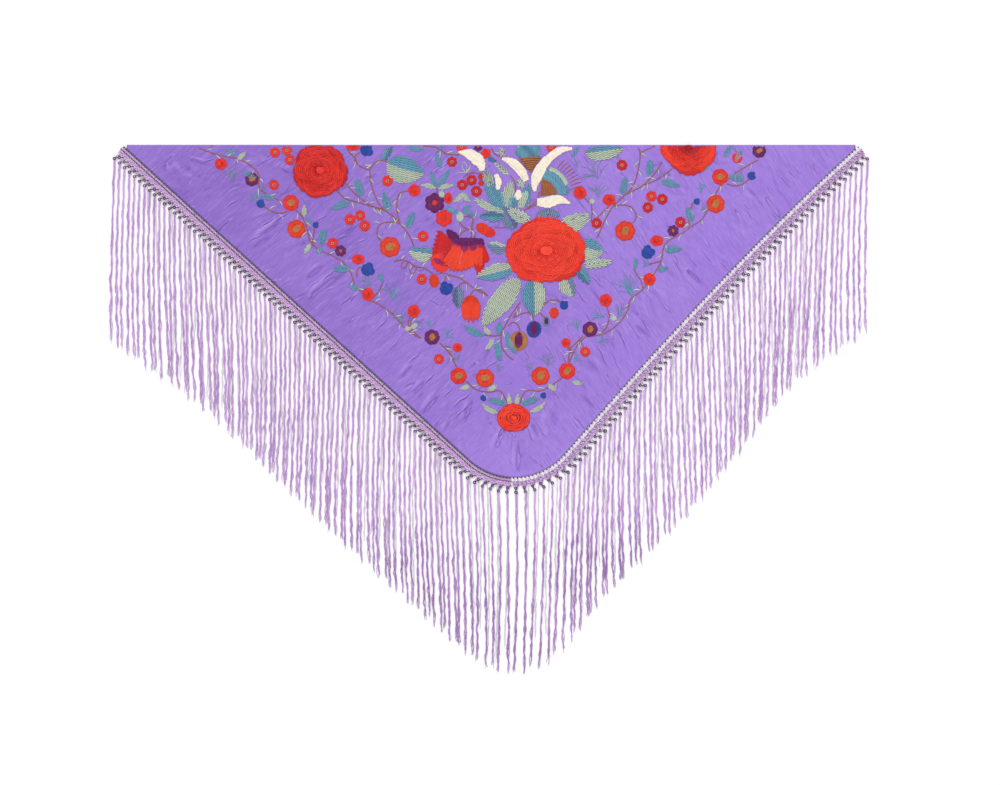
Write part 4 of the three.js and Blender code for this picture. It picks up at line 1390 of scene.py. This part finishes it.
for loop in ([(466, 173), (462, 167), (463.5, 162), (467, 166), (466, 173)],
             [(466, 173), (470, 167), (471, 164), (469, 170), (466, 173)],
             [(466, 173), (461, 172.5), (456.5, 173.6)]):
    addRow(stemBook, curveThrough(pixelLine(*loop), 5.0), 0.9, threadColours["pale"], lift=0.4)

# sharp tucks where the silk is drawn: from one pixel to another, and the half width in millimetres
tucks = [
    (409, 363, 419, 353, 3.0), (455, 406, 470, 392, 3.2), (456, 418, 466, 406, 3.0),
    (444, 397, 452, 388, 2.4), (498, 436, 502, 424, 2.8), (527, 427, 533, 440, 2.8),
    (537, 424, 546, 436, 2.4), (512, 436, 512, 448, 2.2), (596, 346, 610, 368, 2.6),
    (611, 352, 620, 369, 2.4), (620, 334, 628, 350, 2.2), (560, 352, 572, 372, 2.4),
    (575, 289, 586, 302, 2.8), (590, 276, 604, 287, 2.6), (592, 290, 606, 306, 2.4),
    (604, 312, 613, 324, 2.2), (261, 228, 272, 219, 3.0), (249, 242, 262, 234, 2.6),
    (276, 222, 288, 212, 2.4), (309, 288, 320, 279, 3.0), (324, 280, 334, 270, 2.6),
    (340, 306, 350, 296, 2.4), (356, 244, 367, 238, 2.4), (338, 239, 350, 234, 2.2),
    (317, 221, 326, 215, 2.4), (228, 206, 238, 199, 2.4), (203, 163, 214, 158, 2.2),
    (377, 330, 386, 319, 2.6), (390, 350, 398, 340, 2.4), (425, 384, 433, 374, 2.8),
    (671, 257, 682, 271, 2.4), (701, 250, 711, 261, 2.2), (720, 262, 730, 271, 2.0),
    (744, 208, 754, 219, 2.0), (778, 176, 790, 186, 2.0), (640, 318, 650, 331, 2.2),
    (486, 368, 497, 360, 2.4), (545, 345, 556, 358, 2.2), (430, 300, 441, 305, 2.2),
    (595, 245, 607, 252, 2.0), (362, 185, 353, 178, 2.0), (300, 196, 308, 204, 2.2),
    (281, 168, 291, 172, 2.0), (645, 183, 634, 190, 2.0), (655, 170, 648, 178, 2.2),
    (503, 300, 497, 310, 2.2), (583, 310, 592, 322, 2.4), (520, 330, 528, 345, 2.0),
]

tuckForm = {"lift": 0.1, "foldGap": 4, "sides": 8, "flatness": 0.36}


def makeTucks():
    lines = []
    for startX, startY, endX, endY, half in tucks:
        a, b = pixelLine((startX, startY), (endX, endY))
        way, side = b - a, leftOf(b - a)
        spine = curveThrough([
            a - way * 0.15, a + way * 0.33 + side * 0.05, a + way * 0.72 - side * 0.03, b + way * 0.15,
        ], 5.0)
        if (spine[:, 1] > -tuckForm["foldGap"]).any():
            continue
        radii = half * np.maximum(0.06, np.sin(np.pi * np.linspace(0, 1, len(spine))) ** 0.8)
        z = silkTop(spine[:, 0], spine[:, 1]) + tuckForm["lift"]
        lines.append((np.column_stack([spine, z]), radii, np.ones((len(spine), 3))))
    return lines


flossMaterial = yarnMaterial("embroideryFloss", 0.5, 0.06, grooveShade=0.22, ply=9.0, plyTurn=260.0)
embroidery = [finishYarn("silkTucks", makeTucks(), silkPiece.data.materials[0], tuckForm["sides"],
                         tuckForm["flatness"])]
for name, book in (("roseStitches", roseBook), ("leafStitches", leafBook), ("flowerStitches", flowerBook),
                   ("creamStitches", creamBook), ("stemStitches", stemBook)):
    embroidery.append(finishYarn(name, liftOnSilk(book), flossMaterial, 6, stitchForm["flatness"]))


# ---- the net: knotted cords along the free edge
sides = {
    "Left": {
        "from": 0.0, "to": shawlCut["lowest"], "cells": 76, "node": "left", "under": 46,
        "hemCords": 2, "ties": ("netMid", 0.8, (-0.2, 0.2)), "bands": (12.6, 15.0, 17.4, 19.8),
        # the dark dashes and arcs on this side are painted shade
        "dash": ("netPaintedShade", 1.35), "flecks": False, "arc": ("netPaintedShade", 1.3),
    },
    "Right": {  # the paler and more open net
        "from": shawlCut["lowest"], "to": 1.0, "cells": 64, "node": "right", "under": 40,
        "hemCords": 0, "ties": ("netLight", 0.6, (0.2,)), "bands": (14.0, 16.2, 18.4),
        # the flecks, dashes and arcs on this side are painted shade
        "dash": ("netShadeFleck", 0.8), "flecks": True, "arc": ("netShadeFleck", 0.9),
    },
}
netForm = {
    "cordHalf": 1.3,
    "z": 2.6,
    "hemDepth": 1.6,  # the twisted cord along the cloth's edge
    "hemCordHalf": 1.25,
    "dashDepth": 10.2,
    "edgeLong": 2504.0,
    "hemWave": (0.9, 11.0),  # how far the hem's cords swing and how long a swing is
    "bandWave": (1.1, 17.0),
    "bandHalf": 1.55,
    "dash": ((-0.2, 0.4), (0, -0.8), (0.19, 0.5)),  # along in cells, depth in millimetres
    "arc": ((0.1, 1.0), (0.6, 4.4), (1.15, 9.0)),
    "hemKnot": (1.2, 1.2),
    # the first ring above the strand's root, and from it to the second one, downhill and inwards
    "chain": (4.0, 7.5, 10.5),
    "ringSize": (3.0, 1.35),
    "seed": 17,
}
netChance = random.Random(netForm["seed"])


def netCord(lines, flat, half, tone, high=0.0, bow=0.0):
    # a cord through places on the net, its middle raised over what it crosses
    flat = np.asarray(flat, dtype=float)
    if len(flat) == 2:
        way = flat[1] - flat[0]
        t = np.linspace(0, 1, 4)[:, None]
        flat = flat[0] + way * t + leftOf(way) * bow * np.sin(np.pi * t)
    arch = np.sin(np.pi * np.linspace(0, 1, len(flat)))
    z = netForm["z"] + high + 0.4 * arch
    colours = np.tile(tint(tone, 0.1), (len(flat), 1))
    lines.append((np.column_stack([flat, z]), half * (1 - 0.1 * arch), colours))


def wavyCord(lines, side, depth, wave, phase, half, tone, high):
    # a cord that runs the whole length of the edge, weaving to and fro
    swing, long = wave
    edgeLong = netForm["edgeLong"] * (side["to"] - side["from"])
    count = int(edgeLong / 4.2)
    along = np.linspace(side["from"] + 0.001, side["to"] - 0.001, count)
    turns = np.linspace(0, edgeLong / long * 2 * math.pi, count) + phase
    flat = edgePoint(along, 0.0)
    outer = edgePoint(along, 1.0) - flat
    flat = flat + outer * (depth + swing * np.sin(turns))[:, None]
    z = netForm["z"] + high + 0.35 * np.cos(turns)
    colour = np.array(tone) * (1 + 0.12 * np.sin(turns * 0.5))[:, None]
    lines.append((np.column_stack([flat, z]), np.full(count, float(half)), colour))


def makeNet(side):
    lines, rings, dots = [], [], []
    light, mid, dark = threadColours["netLight"], threadColours["netMid"], threadColours["netPaintedShade"]
    dashTone, dashHalf = side["dash"]
    tieTone, tieHalf, ties = side["ties"]
    arcTone, arcHalf = side["arc"]
    half, rootDepth = netForm["cordHalf"], fringeForm["rootDepth"]
    hem, dash = netForm["hemDepth"], netForm["dashDepth"]
    dashAt = side["bands"][0] - 2.4

    def at(cell, depth):
        return edgePoint(side["from"] + (side["to"] - side["from"]) * cell / side["cells"], depth)

    for phase in (0.0, math.pi)[:side["hemCords"]]:
        wavyCord(lines, side, hem, netForm["hemWave"], phase, netForm["hemCordHalf"],
                 threadColours["hemCord"], 0.8)
    for number, depth in enumerate(side["bands"]):
        wavyCord(lines, side, depth, netForm["bandWave"], number * 2.1, netForm["bandHalf"],
                 light if number % 2 else mid, 0.1 * (number % 2))
    first, downhill, inwards = netForm["chain"]
    for c in range(side["cells"]):
        for cell in (c + 0.25, c + 0.75):
            dots.append((at(cell, hem + 0.6), 0.9))
            for lean in ties:
                netCord(lines, [at(cell, hem + 0.5), at(cell + lean, dash + 2)], tieHalf,
                        threadColours[tieTone], 0.0, 0.12 if lean > 0 else -0.12)
            netCord(lines, [at(cell + way, dashAt + deep) for way, deep in netForm["dash"]], dashHalf,
                    threadColours[dashTone], 0.9)
            # flecks of painted shade in the small holes of the band
            if side["flecks"]:
                shift = netChance.uniform(-0.05, 0.05)
                netCord(lines, [at(cell - 0.14 + shift, 13.6), at(cell + 0.1 + shift, 18.4)], 0.85,
                        threadColours["netShadeFleck"], 1.3, 0.12)
            netCord(lines, [at(cell - 0.12, dash + 3), at(cell + 0.14, dash + 9)], 1.0, mid, 0.7, 0.1)
        root = at(c + 0.5, rootDepth)
        inner = root - at(c + 0.5, rootDepth + 1.0)
        edgeWay = -leftOf(inner)
        one = root + [0.0, first]
        two = one + edgeWay * downhill * (-edgeWay[1] / 0.69) + inner * inwards
        rings += [(one, 1.0), (two, 0.94)]
        drop, foot = two - one, two + inner * 6.5
        netCord(lines, [one + [0, -3.0], one + drop * 0.1], 1.2, light, -0.4)
        # the dark cord between the rings is painted shade
        netCord(lines, [one + drop * 0.15, one + drop * 0.85], 1.2, dark, 0.4, 0.1)
        netCord(lines, [two, foot - edgeWay * 5.0], half, mid, -0.2, 0.14)
        netCord(lines, [two, foot + edgeWay * 4.0], half, light, 0.0, -0.14)
        netCord(lines, [two + (foot - two) * f + edgeWay * bend for f, bend in netForm["arc"]], arcHalf,
                threadColours[arcTone], 0.8)
        netCord(lines, [one + inner * 3.0, one + inner * 16.0 + edgeWay * 4.0], 1.2, mid, -0.3, 0.2)
        netCord(lines, [at(c + 0.1, 21.0), two - edgeWay * 2.0], 1.1, light, -0.4, 0.25)
    return lines, rings, dots


def knotTree():
    tree, start = newGroup("netKnots", (("Ring Steps", "Int", 12), ("Ring Radius", "Float", 0.003),
                                        ("Yarn Steps", "Int", 5), ("Yarn Radius", "Float", 0.001)))
    ring, yarn = (addNode(tree, "GeometryNodeCurvePrimitiveCircle", {
        "Resolution": start[part + " Steps"], "Radius": start[part + " Radius"],
    }).outputs[0] for part in ("Ring", "Yarn"))
    torus = addNode(tree, "GeometryNodeCurveToMesh", {"Curve": ring, "Profile Curve": yarn}).outputs[0]
    placed = addNode(tree, "GeometryNodeInstanceOnPoints", {
        "Points": start["Geometry"], "Instance": torus,
        "Rotation": namedNode(tree, "knotTilt", "FLOAT_VECTOR"), "Scale": namedNode(tree, "knotSize"),
    }).outputs[0]
    return endGroup(tree, placed, start["Finish"])


def knotShadeMaterial():
    material, tree, shader = newMaterial("knottedYarnPaintedShade", 0.6, specular=0.3, sheen=0.2)
    place = objectPlace(tree)
    patch = noiseNode(tree, place, 220.0, 2.0)
    wave = addNode(tree, "ShaderNodeTexWave", {"Vector": place, "Scale": 260.0, "Distortion": 2.0})
    # the deep plum of the knots is painted shade, standing in for the shade inside tight knots
    colour = mixColour(tree, rangeNode(tree, patch, 0.35, 0.65, 0.0, 1.0),
                       (*linear(64, 32, 78), 1), (*linear(104, 62, 122), 1))
    tree.links.new(colour, shader.inputs["Base Color"])
    bumpOn(tree, shader, wave.outputs["Fac"], 0.5, 0.0004)
    return material


def makeKnots(name, places, tree, finish, ring, yarn, high, steps):
    def spread(span):
        return netChance.uniform(-span, span)

    tilts = [(spread(0.3), spread(0.3), netChance.uniform(0, 3)) for _ in places]
    sizes = [size * netChance.uniform(0.92, 1.08) for _, size in places]
    guide = makeMesh(name + "Guide", np.array([
        (*place, netForm["z"] + high + spread(0.2)) for place, _ in places
    ]), ())
    storeValues(guide, "knotSize", sizes)
    storeValues(guide, "knotTilt", tilts, "FLOAT_VECTOR", "vector")
    piece = bake(guide, name, tree, {
        "Ring Steps": steps[0], "Ring Radius": ring * 0.001,
        "Yarn Steps": steps[1], "Yarn Radius": yarn * 0.001, "Finish": finish,
    })
    print("shawl:", name, len(places), "knots", countTriangles(piece), "triangles")
    return piece


# ---- the fringe: each strand is a lock of fine plies
fringeForm = {
    "rootDepth": 42.0,
    "uneven": 8.0,
    "sway": (7.0, 97.0, 2.4, 1.6, 2.3, 4.1),
    "plies": 5,
    "plyRadius": 0.0011,
    "steps": 54,
    "turns": 9.0,
    "fray": 0.0026,
    "atRing": 3.0,
    "drawn": 2.6,  # how far neighbours draw together
    "wobble": (0.8, 5.1, 0.7, 13),
    "underUneven": 30,
    "underSway": (5.0, 61.0, 2.9),
    "underPly": {"Plies": 3, "Steps": 30, "Flatness": 0.25, "Ply Radius": 0.0007},
}
strandLengths = [  # share of the free edge, millimetres
    (0, 452), (0.12, 424), (0.27, 418), (0.4, 440), (0.54, 443), (0.62, 412), (0.75, 416), (0.9, 392),
    (1, 424),
]


def strandLength(along):
    return float(np.interp(along, [a for a, _ in strandLengths], [b for _, b in strandLengths]))


def fringeTree():
    tree, start = newGroup("fringeLocks", (
        ("Plies", "Int", 7), ("Ply Radius", "Float", 0.0008), ("Steps", "Int", 34), ("Turns", "Float", 5.0),
        ("Flatness", "Float", 0.5), ("Fray", "Float", 0.0026), ("Seed", "Int", 4)))

    def plus(first, second):
        return mathNode(tree, "ADD", first, second)

    def times(first, second):
        return mathNode(tree, "MULTIPLY", first, second)

    def parts(vector):
        return addNode(tree, "ShaderNodeSeparateXYZ", {"Vector": vector}).outputs

    curve = addNode(tree, "GeometryNodeMeshToCurve", {"Mesh": start["Geometry"]}).outputs[0]
    curve = addNode(tree, "GeometryNodeResampleCurve", {"Curve": curve, "Count": start["Steps"]}).outputs[0]
    plies = addNode(tree, "GeometryNodeDuplicateElements", {"Geometry": curve, "Amount": start["Plies"]},
                    domain="SPLINE").outputs
    ply = plies["Duplicate Index"]
    spline = addNode(tree, "GeometryNodeSplineParameter").outputs
    down = spline["Factor"]
    strand, lock = namedNode(tree, "strandNumber"), namedNode(tree, "lockHalf")
    key = plus(times(strand, 31.0), ply)
    turned = plus(times(down, times(start["Turns"], 2 * math.pi)), times(strand, 2.1))
    angle = plus(times(mathNode(tree, "DIVIDE", ply, start["Plies"]), 2 * math.pi), turned)
    place = parts(addNode(tree, "GeometryNodeInputPosition").outputs[0])
    field = addNode(tree, "ShaderNodeCombineXYZ", {"X": times(key, 1.37), "Y": times(place["Y"], 26.0)})
    noise = addNode(tree, "ShaderNodeTexNoise", {"Vector": field.outputs[0], "Scale": 1.0, "Detail": 2.0})
    loose = parts(noise.outputs["Color"])
    strayX, strayY, strayZ = (mathNode(tree, "SUBTRACT", loose[part], 0.5) for part in ("X", "Y", "Z"))
    fray = times(start["Fray"], plus(0.55, times(down, 1.6)))
    offX = plus(times(mathNode(tree, "COSINE", angle), lock), times(strayX, times(fray, 3.0)))
    offZ = plus(times(mathNode(tree, "SINE", angle), lock), times(strayY, times(fray, 2.0)))
    tipShift = times(mathNode(tree, "POWER", down, 3.0), times(strayZ, 0.06))
    height = plus(place["Z"], times(start["Flatness"], offZ))
    moved = addNode(tree, "ShaderNodeCombineXYZ", {
        "X": plus(place["X"], offX), "Y": plus(place["Y"], tipShift),
        "Z": mathNode(tree, "MAXIMUM", height, times(start["Ply Radius"], 1.1)),
    }).outputs[0]
    curve = addNode(tree, "GeometryNodeSetPosition", {
        "Geometry": plies["Geometry"], "Position": moved,
    }).outputs[0]
    pick = addNode(tree, "FunctionNodeRandomValue", {"ID": key, "Seed": start["Seed"]}, data_type="FLOAT")
    curve = storeNode(tree, curve, "plyTone", pick.outputs[1])
    curve = storeNode(tree, curve, "along", spline["Length"])
    ring = addNode(tree, "GeometryNodeCurvePrimitiveCircle", {"Resolution": 3, "Radius": 1.0}).outputs[0]
    taper = mathNode(tree, "SUBTRACT", 1.1, times(mathNode(tree, "POWER", down, 6.0), 0.6))
    tube = addNode(tree, "GeometryNodeCurveToMesh", {
        "Curve": curve, "Profile Curve": ring, "Scale": times(taper, start["Ply Radius"]), "Fill Caps": True,
    }).outputs[0]
    return endGroup(tree, tube, start["Finish"])


def fringeMaterial(name, light, plain, dark, deep, deepen):
    # plies in three tones, deeper in patches low down
    material, tree, shader = newMaterial(name, 0.52, specular=0.35, sheen=0.3)
    place = objectPlace(tree)
    drawn = addNode(tree, "ShaderNodeMapping", {"Vector": place, "Scale": (1.0, 0.16, 1.0)}).outputs[0]
    patch, wide = noiseNode(tree, drawn, 90.0, 3.0), noiseNode(tree, place, 7.0, 3.0)
    twist = waveNode(tree, mathNode(tree, "MULTIPLY", attributeNode(tree, "along"), 1400.0))
    down = addNode(tree, "ShaderNodeSeparateXYZ", {"Vector": place}).outputs["Y"]
    low = mathNode(tree, "MULTIPLY", rangeNode(tree, down, -0.26, -0.36, 0.0, 1.0),
                   rangeNode(tree, wide, 0.40, 0.56, 0.25, deepen))
    colour = mixColour(tree, rangeNode(tree, attributeNode(tree, "plyTone"), 0.0, 1.0, 0.0, 1.0),
                       (*dark, 1), (*light, 1))
    for share, tone in ((0.45, plain), (rangeNode(tree, patch, 0.35, 0.7, 0.0, 0.5), dark),
                        (mathNode(tree, "MULTIPLY", twist, 0.18), light), (low, deep)):
        colour = mixColour(tree, share, colour, (*tone, 1))
    tree.links.new(colour, shader.inputs["Base Color"])
    bumpOn(tree, shader, twist, 0.5, 0.0003)
    return material


def frontStrands(side):
    slow, slowLength, slowTurn, quick, quickStep, quickTurn = fringeForm["sway"]
    fine, fineLength, coarse, coarseLength = fringeForm["wobble"]
    down = np.linspace(0, 1, 64)
    for cell in range(side["cells"]):
        along = side["from"] + (side["to"] - side["from"]) * (cell + 0.5) / side["cells"]
        root = edgePoint(along, fringeForm["rootDepth"])
        long = strandLength(along) + fringeForm["uneven"] * math.sin(cell * 2.3)
        x = root[0] + slow * (np.sin(root[0] / slowLength + down * slowTurn) - math.sin(root[0] / slowLength))
        x = x + quick * np.sin(cell * quickStep + down * quickTurn) * down
        x = x + fine * np.sin(down * long / fineLength + cell * 1.9) * np.sin(down * 7 + cell)
        x = x + coarse * np.sin(down * long / coarseLength + cell)
        drawn = fringeForm["drawn"] * math.sin(cell * 2.1 + 0.7 * math.sin(cell * 0.37))
        x = x + drawn * smooth(down, 0.25, 0.8)
        y = root[1] + fringeForm["atRing"] - (long + fringeForm["atRing"]) * down
        z = 2.9 - 1.0 * smooth(down, 0.0, 0.35)
        half = 1.2 + 0.35 * np.sin(down * 17 + cell) + 0.5 * smooth(down, 0.75, 1.0)
        yield np.column_stack([x, y, z]), half, cell


def underStrands(side):
    count = side["under"]
    sway, swayLength, swayTurn = fringeForm["underSway"]
    down = np.linspace(0, 1, 18)
    for number in range(count):
        f = (number + 0.5) / count
        share = 0.05 + 0.95 * f if side["node"] == "left" else 0.95 * f
        along = side["from"] + (side["to"] - side["from"]) * share
        root = edgePoint(along, -4.0)
        long = strandLength(along) + fringeForm["underUneven"] * math.sin(number * 1.9)
        x = root[0] + sway * (np.sin(root[0] / swayLength + down * swayTurn) - math.sin(root[0] / swayLength))
        half = 1.3 + 0.3 * np.sin(down * 7 + number)
        yield np.column_stack([x, root[1] - long * down, np.full(18, 0.95)]), half, number + 200


def makeFringe(name, strands, tree, values):
    lines, halves, numbers = zip(*strands)
    guide = makeMesh(name + "Guide", np.vstack(lines), (), chained(lines))
    storeValues(guide, "lockHalf", np.concatenate(halves) * 0.001)
    storeValues(guide, "strandNumber", np.repeat(numbers, [len(line) for line in lines]))
    piece = bake(guide, name, tree, values)
    print("shawl:", name, countTriangles(piece), "triangles")
    return piece


netMaterial = yarnMaterial("netYarn", 0.55, 0.25, grooveShade=0.6, ply=2.6, plyTurn=1500.0)
ringMaterial = knotShadeMaterial()
frontMaterial = fringeMaterial(
    "fringeYarn", threadColours["fringeLight"], threadColours["fringe"], threadColours["fringeDark"],
    linear(150, 96, 178), 0.6)
backMaterial = fringeMaterial(
    "fringeYarnBehind", linear(246, 242, 248), threadColours["fringeBack"], linear(222, 208, 230),
    linear(206, 190, 216), 0.3)
lockTree = fringeTree()
knots = knotTree()
for label, side in sides.items():
    lines, ringPlaces, dotPlaces = makeNet(side)
    net = finishYarn("net" + label, lines, netMaterial, 5, 0.8)
    rings = makeKnots("netRings" + label, ringPlaces, knots, ringMaterial, *netForm["ringSize"], 0.9, (12, 5))
    dots = makeKnots("hemKnots" + label, dotPlaces, knots, ringMaterial, *netForm["hemKnot"], 1.4, (6, 4))
    values = {
        "Plies": fringeForm["plies"], "Ply Radius": fringeForm["plyRadius"], "Steps": fringeForm["steps"],
        "Turns": fringeForm["turns"], "Fray": fringeForm["fray"], "Flatness": 0.5, "Seed": 4,
        "Finish": frontMaterial,
    }
    front = makeFringe("fringeFront" + label, frontStrands(side), lockTree, values)
    values = {**values, **fringeForm["underPly"], "Finish": backMaterial}
    under = makeFringe("fringeUnder" + label, underStrands(side), lockTree, values)
    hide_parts("fringe_front_" + side["node"])
    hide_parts("fringe_under_" + side["node"])
    for piece in (net, rings, dots, front, under):
        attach(piece, "root")
print("shawl: net and fringe")

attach(silkPiece, "root")
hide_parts("silk_ground")
for piece in embroidery:
    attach(piece, "root")


# ---- floor, light and camera
studio = {
    "floorSize": 8.0,
    "floorTone": 0.95,
    "skyLevel": 0.80,
    "sunLevel": 1.6,
    "sunTurn": (-50, 0, 24),
    "sunSoft": 12,
    "cameraPx": (500.0, 392.5),
    "lens": 85.0,
    "sensor": 36.0,
    "imageWide": 1000.0,
}

floorHalf = studio["floorSize"] / 2
floorMesh = bpy.data.meshes.new("floor")
floorMesh.from_pydata([(-floorHalf, -floorHalf, 0), (floorHalf, -floorHalf, 0), (floorHalf, floorHalf, 0),
                       (-floorHalf, floorHalf, 0)], [], [(0, 1, 2, 3)])
floor = bpy.data.objects.new("floor", floorMesh)
bpy.context.scene.collection.objects.link(floor)
floorMaterial, _, floorShader = newMaterial("paleFloor", 0.9, specular=0.1)
floorShader.inputs["Base Color"].default_value = (*[studio["floorTone"]] * 3, 1)
floorMesh.materials.append(floorMaterial)

world = bpy.data.worlds.new("studio")
world.use_nodes = True
world.node_tree.nodes["Background"].inputs["Color"].default_value = (1, 1, 1, 1)
world.node_tree.nodes["Background"].inputs["Strength"].default_value = studio["skyLevel"]
bpy.context.scene.world = world

sun = bpy.data.lights.new("keyLight", "SUN")
sun.energy = studio["sunLevel"]
sun.angle = math.radians(studio["sunSoft"])
sunObject = bpy.data.objects.new("keyLight", sun)
sunObject.rotation_euler = [math.radians(a) for a in studio["sunTurn"]]
bpy.context.scene.collection.objects.link(sunObject)

camera = bpy.data.cameras.new("camera")
camera.lens = studio["lens"]
camera.sensor_width = studio["sensor"]
cameraObject = bpy.data.objects.new("camera", camera)
middle = toFrame([[*fromPhoto(*studio["cameraPx"]), 0.0]])[0]
distance = studio["imageWide"] * chart["mmPerPx"] * 0.001 * studio["lens"] / studio["sensor"]
cameraObject.location = (middle[0], middle[1], distance)
bpy.context.scene.collection.objects.link(cameraObject)
bpy.context.scene.camera = cameraObject
bpy.context.scene.view_settings.view_transform = "Standard"

bpy.context.view_layer.update()
print("shawl: done")
